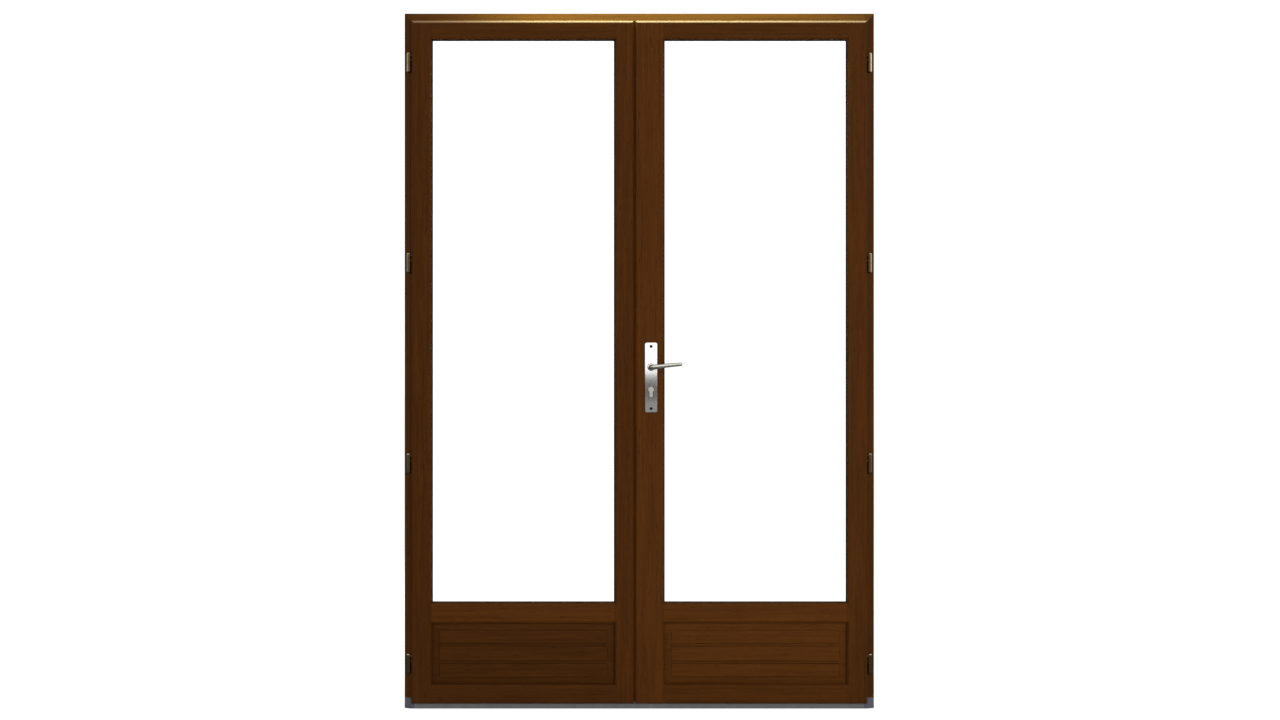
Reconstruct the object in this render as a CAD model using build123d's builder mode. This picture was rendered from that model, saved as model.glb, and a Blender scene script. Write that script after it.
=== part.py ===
"""French doors in their frame: two glazed leaves over raised panels.

Millimetres, +Z up. The room side is at -Y, the outside at +Y and the origin is the
middle of the threshold's underside. The right leaf carries the lock.
"""

import os
from math import cos, radians, sin, sqrt

from build123d import *

# Wooden frame
frame_width = 1480.0
frame_height = 2190.0
frame_depth = 58.0
jamb_face = 32.0
stop_width = 20.0
stop_depth = 18.0
bevel_face = 20.0
head_bevel_face = 25.0
bevel_depth = 12.0
head_tenon_length = 18.0
head_tenon_thickness = 14.0
head_tenon_height = 20.0
fixing_hole_diameter = 10.2
fixing_pitch = 630.0
fixing_low = 300.0
fixing_high = 330.0

# Threshold
end_block_height = 34.0
threshold_height = 26.0
threshold_wall = 2.5
nose_reach = 15.0
nose_height = 10.0
slope_start = 37.0
web_shares = (0.36, 0.7)

# Leaves
leaf_thickness = 56.0
lip_thickness = 16.0
lip_gap = 1.0
lip_reveal = 23.0
top_reveal = 26.0
threshold_reveal = 17.0
edge_gap = 4.0
leaf_arris = 8.0
meeting_shift = -15.0
meeting_gap = 4.0
hinge_stile_width = 64.0
meeting_width = 154.0
top_rail_height = 58.0
mid_rail_height = 63.0
bottom_rail_height = 60.0
panel_height = 194.0
sight_chamfer = 6.0
tenon_length = 34.0
tenon_thickness = 12.0
tenon_shoulder = 4.0

# Glazing
nosing_thickness = 18.0
glass_rebate = 15.0
glass_cover = 10.0
pane_thickness = 4.0
pane_gap = 16.0
spacer_width = 7.0
spacer_inset = 3.0
bead_width = 13.0
bead_chamfer = 5.0

# Raised panel
groove_depth = 10.0
groove_width = 12.0
groove_setback = 16.0
panel_float = 0.8
bevel_width = 25.0
bevel_rise = 5.5
field_step = 2.5
board_pitch = 55.0
bead_half_width = 3.8
quirk_flank = 2.4
quirk_depth = 2.2
bead_drop = 0.3

# Drip rail
drip_height = 40.0
drip_reach = 34.0
drip_lip = 12.0
drip_throat = 5.0
drip_setback = 10.0
drip_clearance = 6.0
brow_share = 0.55

# Hinges
hinge_count = 4
hinge_low = 142.0
hinge_high = 158.0
hinge_offset = 8.0
barrel_radius = 6.5
barrel_length = 31.0
barrel_dome = 4.0
pin_radius = 3.5
pin_seat = 22.0
washer_thickness = 1.0
prong_radius = 3.0
prong_length = 34.0
prong_spread = 8.0

# Lock and handles
backset = 50.0
lever_height = 1075.0
cylinder_drop = 70.0
lock_depth = 30.0
lock_case_depth = 66.0
lock_case_thickness = 15.0
case_clear_top = 20.0
case_clear_bottom = 15.0
faceplate_width = 16.0
faceplate_thickness = 3.0
rod_width = 5.0
rod_thickness = 7.0
rod_shift = 4.0
rod_throw = 16.0
rod_overlap = 14.0
tang_height = 8.0
tang_depth = 5.0
bolt_height = 24.0
bolt_thickness = 7.0
bolt_length = 46.0
bolt_throw = 18.0
bolt_rise = 22.0
follower_radius = 9.0
spindle_size = 7.0
plate_width = 39.0
plate_height = 220.0
plate_thickness = 7.0
plate_corner = 6.0
plate_arris = 2.0
plate_drop = 32.5
screw_inset = 12.5
screw_radius = 2.5
screw_head_radius = 4.6
cylinder_radius = 8.5
cylinder_tail = 10.0
cylinder_length = 33.0
cylinder_proud = 2.0
plug_radius = 6.5
key_slot_width = 2.4
key_slot_height = 8.5
key_slot_depth = 12.0
shank_radius = 8.0
collar_radius = 11.0
collar_height = 6.0
neck_reach = 28.0
neck_radius = 7.2
bend_radius = 16.0
arm_length = 98.0
arm_tilt = 5.5
arm_tip_width = 11.0
arm_tip_depth = 10.0
arm_tip_round = 4.0
square_depth = 14.0

# Flush bolts of the left leaf
flush_plate_height = 180.0
flush_bolt_size = 8.0
flush_bolt_length = 150.0
flush_throw_top = 15.0
flush_throw_bottom = 12.0
thumb_height = 12.0
thumb_width = 7.0
thumb_sink = 0.6

# Strikes, keep and seals
strike_thickness = 1.6
strike_play = 1.0
strike_margin = 12.0
strike_depth = 14.5
keep_height = 60.0
keep_slack = 3.0
seal_width = 4.0
seal_root = 4.0
meeting_seal_height = 5.0

# Clearances
running = 0.05
fit = 0.2
touch_gap = 0.3
overrun = 10.0

# Planes of the frame, from the room outwards
half_width = frame_width / 2
room_y = -frame_depth / 2
out_y = frame_depth / 2
stop_y = out_y - stop_depth
rebate_x = half_width - jamb_face
stop_x = rebate_x - stop_width
rebate_z = frame_height - jamb_face
stop_z = rebate_z - stop_width

# Planes of the leaves
lip_y = room_y - lip_gap
face_y = lip_y - lip_thickness
back_y = face_y + leaf_thickness
lip_x = half_width - lip_reveal
body_x = rebate_x - edge_gap
lip_top = frame_height - top_reveal
lip_bottom = threshold_reveal
body_top = rebate_z - edge_gap
body_bottom = threshold_height + edge_gap
right_edge = meeting_shift + meeting_gap / 2
left_edge = meeting_shift - meeting_gap / 2
sight_in = meeting_width / 2
sight_out = lip_x - hinge_stile_width
panel_low = lip_bottom + bottom_rail_height
panel_high = panel_low + panel_height
pane_low = panel_high + mid_rail_height
pane_high = lip_top - top_rail_height

# Glazing and panel planes
shoulder_y = face_y + nosing_thickness
outer_pane_y = shoulder_y + pane_thickness + pane_gap
bead_y = outer_pane_y + pane_thickness
groove_y = face_y + groove_setback
tenon_y = (lip_y + back_y - tenon_thickness) / 2

# Hinge line, with the hinges evenly spaced along it
axis_x = lip_x + hinge_offset
axis_y = lip_y - lip_thickness / 2
hinge_pitch = (frame_height - hinge_high - hinge_low) / (hinge_count - 1)
hinge_heights = [hinge_low + n * hinge_pitch for n in range(hinge_count)]

# Lock lines
lever_x = right_edge + backset
cylinder_z = lever_height - cylinder_drop
lock_y = face_y + lock_depth
case_x = right_edge + faceplate_thickness
channel_x = case_x + rod_thickness + 2 * fit
rod_y = lock_y - rod_shift
rod_x = case_x + fit
bolt_y = rod_y + rod_width / 2 + fit + touch_gap
bolt_z = cylinder_z + bolt_rise
plate_z = lever_height - plate_drop
screw_low = plate_z - plate_height / 2 + screw_inset
screw_high = plate_z + plate_height / 2 - screw_inset
case_bottom = screw_low + case_clear_bottom
case_top = screw_high - case_clear_top
flush_x = left_edge - faceplate_thickness
mid_y = (face_y + back_y) / 2

os.makedirs("parts", exist_ok=True)


def save(part, name):
    """Label a finished piece and write it."""
    part.label = name
    export_step(part, f"parts/{name}.step")


def twin(part):
    """The left-hand twin of a right-hand piece."""
    return mirror(part, about=Plane.YZ, mode=Mode.PRIVATE)


def facing(y):
    """Upright plane across the doorway at depth y, seen from the room."""
    return Plane.XZ.offset(-y)


def oblong(x_low, x_high, z_low, z_high):
    """Rectangle between limits, in the current sketch."""
    with Locations(((x_low + x_high) / 2, (z_low + z_high) / 2)):
        Rectangle(x_high - x_low, z_high - z_low)


def slab(x_low, x_high, y_low, y_high, z_low, z_high):
    """Straight block between limits, for member blanks and cuts."""
    with BuildPart() as block:
        with BuildSketch(facing(y_low)):
            oblong(x_low, x_high, z_low, z_high)
        extrude(amount=y_low - y_high)
    return block.part


def splay(x_low, x_high, z_low, z_high, y_wide, y_narrow, width):
    """Four-sided splay round an opening, wider by width at y_wide."""
    with BuildPart() as cone:
        with BuildSketch(facing(y_wide)):
            oblong(x_low - width, x_high + width, z_low - width, z_high + width)
        with BuildSketch(facing(y_narrow)):
            oblong(x_low, x_high, z_low, z_high)
        loft(ruled=True)
    return cone.part


def post(z_low, z_high):
    """Right-hand frame post: a face towards the room and a stop behind the leaf."""
    with BuildPart() as upright:
        with BuildSketch(Plane.XY.offset(z_low)):
            with BuildLine():
                Polyline(
                    (half_width - bevel_face, room_y),
                    (half_width, room_y + bevel_depth),
                    (half_width, out_y),
                    (stop_x, out_y),
                    (stop_x, stop_y),
                    (rebate_x, stop_y),
                    (rebate_x, room_y),
                    close=True,
                )
            make_face()
        extrude(amount=z_high - z_low)
    return upright.part


# Where the seal lies in the stop
seal_x = (stop_x + body_x) / 2
seal_z = (stop_z + body_top) / 2
seal_face = back_y + touch_gap


def frame_seal_run(y_low, y_high):
    """U-shaped seal run up both jambs and along the head."""
    with BuildPart() as run:
        with BuildSketch(facing(y_low)):
            outer_x = seal_x + seal_width / 2
            inner_x = seal_x - seal_width / 2
            oblong(-outer_x, outer_x, end_block_height, seal_z + seal_width / 2)
            inner_low = end_block_height - overrun
            with Locations((0, (inner_low + seal_z - seal_width / 2) / 2)):
                Rectangle(
                    2 * inner_x,
                    seal_z - seal_width / 2 - inner_low,
                    mode=Mode.SUBTRACT,
                )
        extrude(amount=y_low - y_high)
    return run.part


# Frame seal
seal_groove = frame_seal_run(stop_y - overrun, stop_y + seal_root)
frame_seal = frame_seal_run(seal_face, stop_y + seal_root)
save(frame_seal, "frame_seal")

# Bevel along the top of the frame, which meets the jambs' bevels in mitres
with BuildPart() as top_bevel:
    with BuildSketch(Plane.YZ.offset(-half_width - overrun)):
        with BuildLine():
            Polyline(
                (room_y, frame_height - head_bevel_face),
                (room_y + bevel_depth, frame_height),
                (room_y, frame_height),
                close=True,
            )
        make_face()
    extrude(amount=frame_width + 2 * overrun)

# Jambs, with head mortise, hinge holes and wall fixing holes
tenon_z = (rebate_z + frame_height) / 2
rebate_mid_y = (room_y + stop_y) / 2
head_mortise = slab(
    rebate_x - overrun,
    rebate_x + head_tenon_length + fit,
    rebate_mid_y - head_tenon_thickness / 2 - fit,
    rebate_mid_y + head_tenon_thickness / 2 + fit,
    tenon_z - head_tenon_height / 2 - fit,
    tenon_z + head_tenon_height / 2 + fit,
)
jamb_blank = post(end_block_height, frame_height)
prong_drops = (prong_spread, barrel_length - prong_spread)
fixing_heights = [fixing_low, fixing_low + fixing_pitch]
fixing_heights += [frame_height - fixing_high, frame_height - fixing_high - fixing_pitch]

with BuildPart() as right_jamb:
    add(jamb_blank)
    add(top_bevel.part, mode=Mode.SUBTRACT)
    add(head_mortise, mode=Mode.SUBTRACT)
    add(seal_groove, mode=Mode.SUBTRACT)
    with BuildSketch(facing(room_y - overrun)):
        with Locations(*[(axis_x, z - d) for z in hinge_heights for d in prong_drops]):
            Circle(prong_radius + fit / 2)
    extrude(amount=-(overrun + prong_length), mode=Mode.SUBTRACT)
    with BuildSketch(Plane.YZ.offset(stop_x)):
        with Locations(*[(rebate_mid_y, z) for z in fixing_heights]):
            Circle(fixing_hole_diameter / 2)
    extrude(amount=half_width - stop_x + overrun, mode=Mode.SUBTRACT)
save(right_jamb.part, "right_jamb")
save(twin(right_jamb.part), "left_jamb")

# Grey end blocks under the jambs
right_block = post(0, end_block_height)
left_block = twin(right_block)
save(right_block, "right_end_block")
save(left_block, "left_end_block")

# Strike holes for the rod of the right leaf and the flush bolt of the left leaf
rod_limits = (rod_x, rod_x + rod_thickness, rod_y - rod_width / 2, rod_y + rod_width / 2)
flush_limits = (
    flush_x - flush_bolt_size - fit,
    flush_x - fit,
    lock_y - flush_bolt_size / 2,
    lock_y + flush_bolt_size / 2,
)
strike_x = (flush_limits[0] - strike_margin, rod_limits[1] + strike_margin)
strike_y = (lock_y - faceplate_width / 2, lock_y + faceplate_width / 2)


def strike_hole(limits, z_low, z_high):
    """Hole that a bolt with these limits enters with some play."""
    x_low, x_high, y_low, y_high = limits
    play = strike_play
    return slab(x_low - play, x_high + play, y_low - play, y_high + play, z_low, z_high)


# Head, between the jambs
strike_recess = slab(*strike_x, *strike_y, rebate_z - overrun, rebate_z + strike_thickness)
head_holes = [
    strike_hole(limits, rebate_z - overrun, rebate_z + strike_depth)
    for limits in (rod_limits, flush_limits)
]
head_tenons = slab(
    -rebate_x - head_tenon_length,
    rebate_x + head_tenon_length,
    rebate_mid_y - head_tenon_thickness / 2,
    rebate_mid_y + head_tenon_thickness / 2,
    tenon_z - head_tenon_height / 2,
    tenon_z + head_tenon_height / 2,
)
with BuildPart() as head:
    with BuildSketch(facing(room_y)):
        oblong(-rebate_x, rebate_x, rebate_z, frame_height)
    extrude(amount=room_y - stop_y)
    with BuildSketch(facing(stop_y)):
        oblong(-stop_x, stop_x, stop_z, frame_height)
    extrude(amount=stop_y - out_y)
    add(top_bevel.part, mode=Mode.SUBTRACT)
    add(head_tenons)
    add(seal_groove, mode=Mode.SUBTRACT)
    add(strike_recess, mode=Mode.SUBTRACT)
    for hole in head_holes:
        add(hole, mode=Mode.SUBTRACT)
save(head.part, "head")

# Head strike plate, let in flush
strike_blank = slab(*strike_x, *strike_y, rebate_z, rebate_z + strike_thickness)
with BuildPart() as head_strike:
    add(strike_blank)
    for hole in head_holes:
        add(hole, mode=Mode.SUBTRACT)
save(head_strike.part, "head_strike")

# Threshold: a hollow profile with two webs, sloping to a nose outside
nose_y = out_y + nose_reach
slope_y = room_y + slope_start
fall = (threshold_height - nose_height) / (nose_y - slope_y)


def deck_z(y):
    """Height of the threshold's top at depth y."""
    return threshold_height - fall * max(y - slope_y, 0)


deck_holes = [
    strike_hole(limits, threshold_wall, threshold_height + overrun)
    for limits in (rod_limits, flush_limits)
]
with BuildPart() as threshold:
    with BuildSketch(Plane.YZ.offset(-rebate_x)) as section:
        with BuildLine():
            Polyline(
                (room_y, 0),
                (nose_y, 0),
                (nose_y, nose_height),
                (slope_y, threshold_height),
                (room_y, threshold_height),
                close=True,
            )
        make_face()
        offset(amount=-threshold_wall, kind=Kind.INTERSECTION, mode=Mode.SUBTRACT)
        for share in web_shares:
            web_y = room_y + share * (nose_y - room_y)
            oblong(web_y - threshold_wall, web_y, 0, deck_z(web_y))
    extrude(amount=2 * rebate_x)
    add(right_block, mode=Mode.SUBTRACT)
    add(left_block, mode=Mode.SUBTRACT)
    for hole in deck_holes:
        add(hole, mode=Mode.SUBTRACT)
save(threshold.part, "threshold")

# Threshold strike plate, on the deck under the leaves
deck_plate = slab(*strike_x, *strike_y, threshold_height, threshold_height + strike_thickness)
with BuildPart() as threshold_strike:
    add(deck_plate)
    for hole in deck_holes:
        add(hole, mode=Mode.SUBTRACT)
save(threshold_strike.part, "threshold_strike")

# Threshold seal, a rounded strip that just clears the leaves
seal_top = body_bottom - touch_gap
sweep_y = (lock_y + faceplate_width / 2 + slope_y) / 2
with BuildPart() as threshold_seal:
    with BuildSketch(Plane.YZ.offset(-rebate_x)):
        with BuildLine():
            Polyline(
                (sweep_y - seal_width / 2, (threshold_height + seal_top) / 2),
                (sweep_y - seal_width / 2, threshold_height),
                (sweep_y + seal_width / 2, threshold_height),
                (sweep_y + seal_width / 2, (threshold_height + seal_top) / 2),
            )
            ThreePointArc(
                (sweep_y - seal_width / 2, (threshold_height + seal_top) / 2),
                (sweep_y, seal_top),
                (sweep_y + seal_width / 2, (threshold_height + seal_top) / 2),
            )
        make_face()
    extrude(amount=2 * rebate_x)
save(threshold_seal.part, "threshold_seal")


# Hinges: a lower barrel on the frame, an upper one on the leaf, a pin and a washer
def hinge_plane(z):
    """Level plane on the right-hand hinge line."""
    return Plane((axis_x, axis_y, z))


pin_reach = washer_thickness / 2 + pin_seat
prong_root = (pin_radius + barrel_radius) / 2
root_y = axis_y + prong_root
with BuildPart() as frame_knuckles:
    for z in hinge_heights:
        with BuildSketch(hinge_plane(z - washer_thickness / 2)):
            Circle(barrel_radius)
        extrude(amount=-barrel_length)
    domes = frame_knuckles.edges().filter_by(GeomType.CIRCLE).group_by(Axis.Z)
    fillet([e for group in domes[::2] for e in group], radius=barrel_dome)
    for z in hinge_heights:
        with BuildSketch(hinge_plane(z)):
            Circle(pin_radius + running)
        extrude(amount=-pin_reach, mode=Mode.SUBTRACT)
    with BuildSketch(facing(root_y)):
        with Locations(*[(axis_x, z - d) for z in hinge_heights for d in prong_drops]):
            Circle(prong_radius)
    extrude(amount=root_y - room_y - prong_length + fit)
save(frame_knuckles.part, "right_frame_knuckles")
save(twin(frame_knuckles.part), "left_frame_knuckles")

with BuildPart() as leaf_knuckles:
    for z in hinge_heights:
        with BuildSketch(hinge_plane(z + washer_thickness / 2)):
            Circle(barrel_radius)
        extrude(amount=barrel_length)
    domes = leaf_knuckles.edges().filter_by(GeomType.CIRCLE).group_by(Axis.Z)
    fillet([e for group in domes[1::2] for e in group], radius=barrel_dome)
    for z in hinge_heights:
        with BuildSketch(hinge_plane(z)):
            Circle(pin_radius + running)
        extrude(amount=pin_reach, mode=Mode.SUBTRACT)
    with BuildSketch(Plane.YZ.offset(axis_x - prong_root)):
        with Locations(*[(axis_y, z + d) for z in hinge_heights for d in prong_drops]):
            Circle(prong_radius)
    extrude(amount=-(hinge_offset - prong_root + prong_length - fit))
save(leaf_knuckles.part, "right_leaf_knuckles")
save(twin(leaf_knuckles.part), "left_leaf_knuckles")

with BuildPart() as hinge_pins:
    for z in hinge_heights:
        with BuildSketch(hinge_plane(z - pin_reach)):
            Circle(pin_radius)
        extrude(amount=2 * pin_reach - touch_gap)
save(hinge_pins.part, "right_hinge_pins")
save(twin(hinge_pins.part), "left_hinge_pins")

with BuildPart() as hinge_washers:
    for z in hinge_heights:
        with BuildSketch(hinge_plane(z - washer_thickness / 2)):
            Circle(barrel_radius)
            Circle(pin_radius + running, mode=Mode.SUBTRACT)
        extrude(amount=washer_thickness - running)
save(hinge_washers.part, "right_hinge_washers")
save(twin(hinge_washers.part), "left_hinge_washers")


# Leaves: every member is cut from the outline of its whole leaf
def leaf_outline(edge_x):
    """A right-hand leaf from its meeting edge: a rounded lip before a smaller body."""
    with BuildPart() as leaf:
        with BuildSketch(facing(face_y)):
            oblong(edge_x, lip_x, lip_bottom, lip_top)
        extrude(amount=-lip_thickness)
        fillet(leaf.faces().sort_by(Axis.Y)[0].edges(), radius=leaf_arris)
        with BuildSketch(facing(lip_y)):
            oblong(edge_x, body_x, body_bottom, body_top)
        extrude(amount=-(leaf_thickness - lip_thickness))
    return leaf.part


pane_sight = (sight_in, sight_out, pane_low, pane_high)
panel_sight = (sight_in, sight_out, panel_low, panel_high)
opening_cuts = [
    slab(
        sight_in - glass_rebate,
        sight_out + glass_rebate,
        shoulder_y,
        back_y + overrun,
        pane_low - glass_rebate,
        pane_high + glass_rebate,
    ),
    slab(
        sight_in - groove_depth,
        sight_out + groove_depth,
        groove_y,
        groove_y + groove_width,
        panel_low - groove_depth,
        panel_high + groove_depth,
    ),
    splay(*pane_sight, face_y, face_y + sight_chamfer, sight_chamfer),
    splay(*panel_sight, face_y, face_y + sight_chamfer, sight_chamfer),
    splay(*panel_sight, back_y, back_y - sight_chamfer, sight_chamfer),
]
tenon_heights = (
    (pane_high + glass_rebate + tenon_shoulder, body_top - tenon_shoulder),
    (panel_high + groove_depth + tenon_shoulder, pane_low - glass_rebate - tenon_shoulder),
    (body_bottom + tenon_shoulder, panel_low - groove_depth - tenon_shoulder),
)


def tenons(heights, slack):
    """Bar through a rail whose ends are its tenons, or the matching mortises."""
    return slab(
        sight_in - tenon_length - slack,
        sight_out + tenon_length + slack,
        tenon_y - slack,
        tenon_y + tenon_thickness + slack,
        heights[0] - slack,
        heights[1] + slack,
    )


mortises = [tenons(heights, fit) for heights in tenon_heights]
right_outline = leaf_outline(right_edge)
left_outline = leaf_outline(-left_edge)


def member(outline, blank, cuts):
    """A stile or rail: its stretch of the leaf's outline, less the cuts."""
    with BuildPart() as timber:
        add(blank)
        add(outline, mode=Mode.INTERSECT)
        for cut in cuts:
            add(cut, mode=Mode.SUBTRACT)
    return timber.part


def rail(z_low, z_high, heights):
    """Right-hand rail between the stiles, with its tenons."""
    timber = member(
        right_outline,
        slab(sight_in, sight_out, face_y, back_y, z_low, z_high),
        opening_cuts,
    )
    bar = tenons(heights, 0)
    with BuildPart() as tenoned:
        add(timber)
        add(bar)
    return tenoned.part


rails = {
    "top_rail": rail(pane_high, lip_top, tenon_heights[0]),
    "mid_rail": rail(panel_high, pane_low, tenon_heights[1]),
    "bottom_rail": rail(lip_bottom, panel_low, tenon_heights[2]),
}
for name, timber in rails.items():
    save(timber, f"right_{name}")
    save(twin(timber), f"left_{name}")

hinge_stile_blank = member(
    right_outline,
    slab(sight_out, lip_x, face_y, back_y, lip_bottom, lip_top),
    opening_cuts + mortises,
)
with BuildPart() as hinge_stile:
    add(hinge_stile_blank)
    with BuildSketch(Plane.YZ.offset(lip_x + overrun)):
        with Locations(*[(axis_y, z + d) for z in hinge_heights for d in prong_drops]):
            Circle(prong_radius + fit / 2)
    extrude(amount=-(overrun + prong_length), mode=Mode.SUBTRACT)
save(hinge_stile.part, "right_hinge_stile")
save(twin(hinge_stile.part), "left_hinge_stile")


# Raised panels, fielded on both faces, with three boards towards the room
def fielding(y_low, y_high, y_field):
    """Bevelled border from the tongue's face and a field that stands above it."""
    with BuildPart() as raised:
        with BuildSketch(facing(y_low)):
            oblong(*panel_sight)
        with BuildSketch(facing(y_high)):
            oblong(*field_limits)
        loft(ruled=True)
        with BuildSketch(facing(y_high)):
            oblong(*field_limits)
        extrude(amount=y_high - y_field)
    return raised.part


field_limits = (
    sight_in + bevel_width,
    sight_out - bevel_width,
    panel_low + bevel_width,
    panel_high - bevel_width,
)
tongue_y = groove_y + fit / 2
tongue_back_y = groove_y + groove_width - fit / 2
bevel_y = tongue_y - bevel_rise
field_y = bevel_y - field_step
tongue_reach = groove_depth - panel_float
panel_tongue = slab(
    sight_in - tongue_reach,
    sight_out + tongue_reach,
    tongue_y,
    tongue_back_y,
    panel_low - tongue_reach,
    panel_high + tongue_reach,
)
room_fielding = fielding(tongue_y, bevel_y, field_y)
back_fielding = fielding(
    tongue_back_y,
    tongue_back_y + bevel_rise,
    tongue_back_y + bevel_rise + field_step,
)
panel_mid_z = (panel_low + panel_high) / 2
with BuildPart() as panel:
    add(panel_tongue)
    add(room_fielding)
    add(back_fielding)
    for z in (panel_mid_z - board_pitch / 2, panel_mid_z + board_pitch / 2):
        with BuildSketch(Plane.YZ.offset(field_limits[0] - overrun)):
            with BuildLine():
                Polyline(
                    (field_y + quirk_depth, z - bead_half_width),
                    (field_y, z - bead_half_width - quirk_flank),
                    (field_y, z + bead_half_width + quirk_flank),
                    (field_y + quirk_depth, z + bead_half_width),
                )
                ThreePointArc(
                    (field_y + quirk_depth, z - bead_half_width),
                    (field_y + bead_drop, z),
                    (field_y + quirk_depth, z + bead_half_width),
                )
            make_face()
        extrude(amount=field_limits[1] - field_limits[0] + 2 * overrun, mode=Mode.SUBTRACT)
save(panel.part, "right_panel")
save(twin(panel.part), "left_panel")

# Sealed glazing: two panes, a spacer and mitred beads on the outside
pane_limits = (
    sight_in - glass_cover,
    sight_out + glass_cover,
    pane_low - glass_cover,
    pane_high + glass_cover,
)
with BuildPart() as glass_panes:
    for y in (shoulder_y, outer_pane_y):
        with BuildSketch(facing(y)):
            oblong(*pane_limits)
        extrude(amount=-pane_thickness)
save(glass_panes.part, "right_glass_panes")
save(twin(glass_panes.part), "left_glass_panes")


def inset(limits, amount):
    """Limits of a rectangle drawn in by amount on every side."""
    x_low, x_high, z_low, z_high = limits
    return (x_low + amount, x_high - amount, z_low + amount, z_high - amount)


def mitred(outer, inner):
    """The four mitred sides between two rectangles, as outlines."""
    ox0, ox1, oz0, oz1 = outer
    ix0, ix1, iz0, iz1 = inner
    return (
        ((ox0, oz0), (ox1, oz0), (ix1, iz0), (ix0, iz0)),
        ((ox1, oz0), (ox1, oz1), (ix1, iz1), (ix1, iz0)),
        ((ox1, oz1), (ox0, oz1), (ix0, iz1), (ix1, iz1)),
        ((ox0, oz1), (ox0, oz0), (ix0, iz0), (ix0, iz1)),
    )


spacer_outer = inset(pane_limits, spacer_inset)
spacer_inner = inset(spacer_outer, spacer_width)
with BuildPart() as glass_spacer:
    with BuildSketch(facing(shoulder_y + pane_thickness)):
        oblong(*spacer_outer)
        x_low, x_high, z_low, z_high = spacer_inner
        with Locations(((x_low + x_high) / 2, (z_low + z_high) / 2)):
            Rectangle(x_high - x_low, z_high - z_low, mode=Mode.SUBTRACT)
    extrude(amount=-pane_gap)
save(glass_spacer.part, "right_glass_spacer")
save(twin(glass_spacer.part), "left_glass_spacer")

bead_outer = inset(pane_sight, -glass_rebate)
bead_inner = inset(bead_outer, bead_width)
bead_splay = splay(*bead_inner, back_y, back_y - bead_chamfer, bead_chamfer)
bead_sides = []
for outline in mitred(bead_outer, bead_inner):
    with BuildPart() as bead:
        with BuildSketch(facing(bead_y)):
            with BuildLine():
                Polyline(*outline, close=True)
            make_face()
        extrude(amount=bead_y - back_y)
        add(bead_splay, mode=Mode.SUBTRACT)
    bead_sides.append(bead.part)
glazing_beads = Compound(children=[side.solids()[0] for side in bead_sides])
left_beads = Compound(children=[twin(side).solids()[0] for side in bead_sides])
save(glazing_beads, "right_glazing_beads")
save(left_beads, "left_glazing_beads")

# Drip rails on the outside of the bottom rails
drip_low = body_bottom + drip_clearance
drip_high = drip_low + drip_height
drip_front = back_y + drip_reach


def drip_rail(edge_x):
    """Curved weather moulding with a throat below, from a meeting edge outwards."""
    with BuildPart() as moulding:
        with BuildSketch(Plane.YZ.offset(edge_x + drip_setback)):
            throat_y = drip_front - drip_lip
            with BuildLine():
                Line((back_y, drip_low), (throat_y, drip_low))
                ThreePointArc(
                    (throat_y, drip_low),
                    (throat_y + drip_throat / 2, drip_low + drip_throat / 2),
                    (throat_y + drip_throat, drip_low),
                )
                Polyline(
                    (throat_y + drip_throat, drip_low),
                    (drip_front, drip_low),
                    (drip_front, drip_low + drip_lip),
                )
                Spline(
                    (drip_front, drip_low + drip_lip),
                    (back_y + drip_reach * brow_share, drip_high - drip_lip),
                    (back_y + drip_throat, drip_high),
                )
                Polyline((back_y + drip_throat, drip_high), (back_y, drip_high), (back_y, drip_low))
            make_face()
        extrude(amount=stop_x - drip_clearance - edge_x - drip_setback)
    return moulding.part


save(drip_rail(right_edge), "right_drip_rail")
save(twin(drip_rail(-left_edge)), "left_drip_rail")

# Left meeting stile, with its flush bolts and the keep
plate_y = (lock_y - faceplate_width / 2, lock_y + faceplate_width / 2)
flush_ends = ((body_top, -1, flush_throw_top), (body_bottom, 1, flush_throw_bottom))


def flush_span(end_z, inward, start, length):
    """Height limits of a stretch that starts some way in from a leaf's end."""
    return sorted((end_z + inward * start, end_z + inward * (start + length)))


def flush_thumb(end_z, inward):
    """Height limits of a flush bolt's thumb piece."""
    return flush_span(end_z, inward, flush_bolt_length - thumb_height, thumb_height)


def thumb_slot(end_z, inward, throw):
    """Height limits of the slot that the thumb piece slides in."""
    start = flush_bolt_length - thumb_height - throw - fit
    return flush_span(end_z, inward, start, thumb_height + throw + 2 * fit)


left_cuts = []
for end_z, inward, throw in flush_ends:
    plate_span = flush_span(end_z, inward, -overrun, flush_plate_height + overrun)
    bolt_span = flush_span(end_z, inward, -overrun, flush_bolt_length + overrun + fit)
    left_cuts.append(slab(flush_x, left_edge + overrun, *plate_y, *plate_span))
    x_low, x_high, y_low, y_high = flush_limits
    left_cuts.append(slab(x_low - fit, flush_x + overrun, y_low - fit, y_high + fit, *bolt_span))
bolt_limits = (bolt_y, bolt_y + bolt_thickness, bolt_z - bolt_height / 2, bolt_z + bolt_height / 2)
keep_span = (bolt_z - keep_height / 2, bolt_z + keep_height / 2)
left_cuts.append(slab(flush_x, left_edge + overrun, *plate_y, *keep_span))


def bolt_hole(x_low, x_high, play):
    """Straight hole round the deadbolt, with some play."""
    y_low, y_high, z_low, z_high = bolt_limits
    return slab(x_low, x_high, y_low - play, y_high + play, z_low - play, z_high + play)


keep_depth_x = right_edge - bolt_throw - keep_slack
keep_hole = bolt_hole(keep_depth_x, left_edge + overrun, strike_play)
left_cuts.append(keep_hole)
left_stile_blank = twin(
    member(
        left_outline,
        slab(-left_edge, sight_in, face_y, back_y, lip_bottom, lip_top),
        opening_cuts + mortises,
    )
)
with BuildPart() as left_meeting_stile:
    add(left_stile_blank)
    for cut in left_cuts:
        add(cut, mode=Mode.SUBTRACT)
save(left_meeting_stile.part, "left_meeting_stile")

keep_blank = slab(flush_x, left_edge, *plate_y, *keep_span)
with BuildPart() as deadbolt_keep:
    add(keep_blank)
    add(keep_hole, mode=Mode.SUBTRACT)
save(deadbolt_keep.part, "deadbolt_keep")

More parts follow.
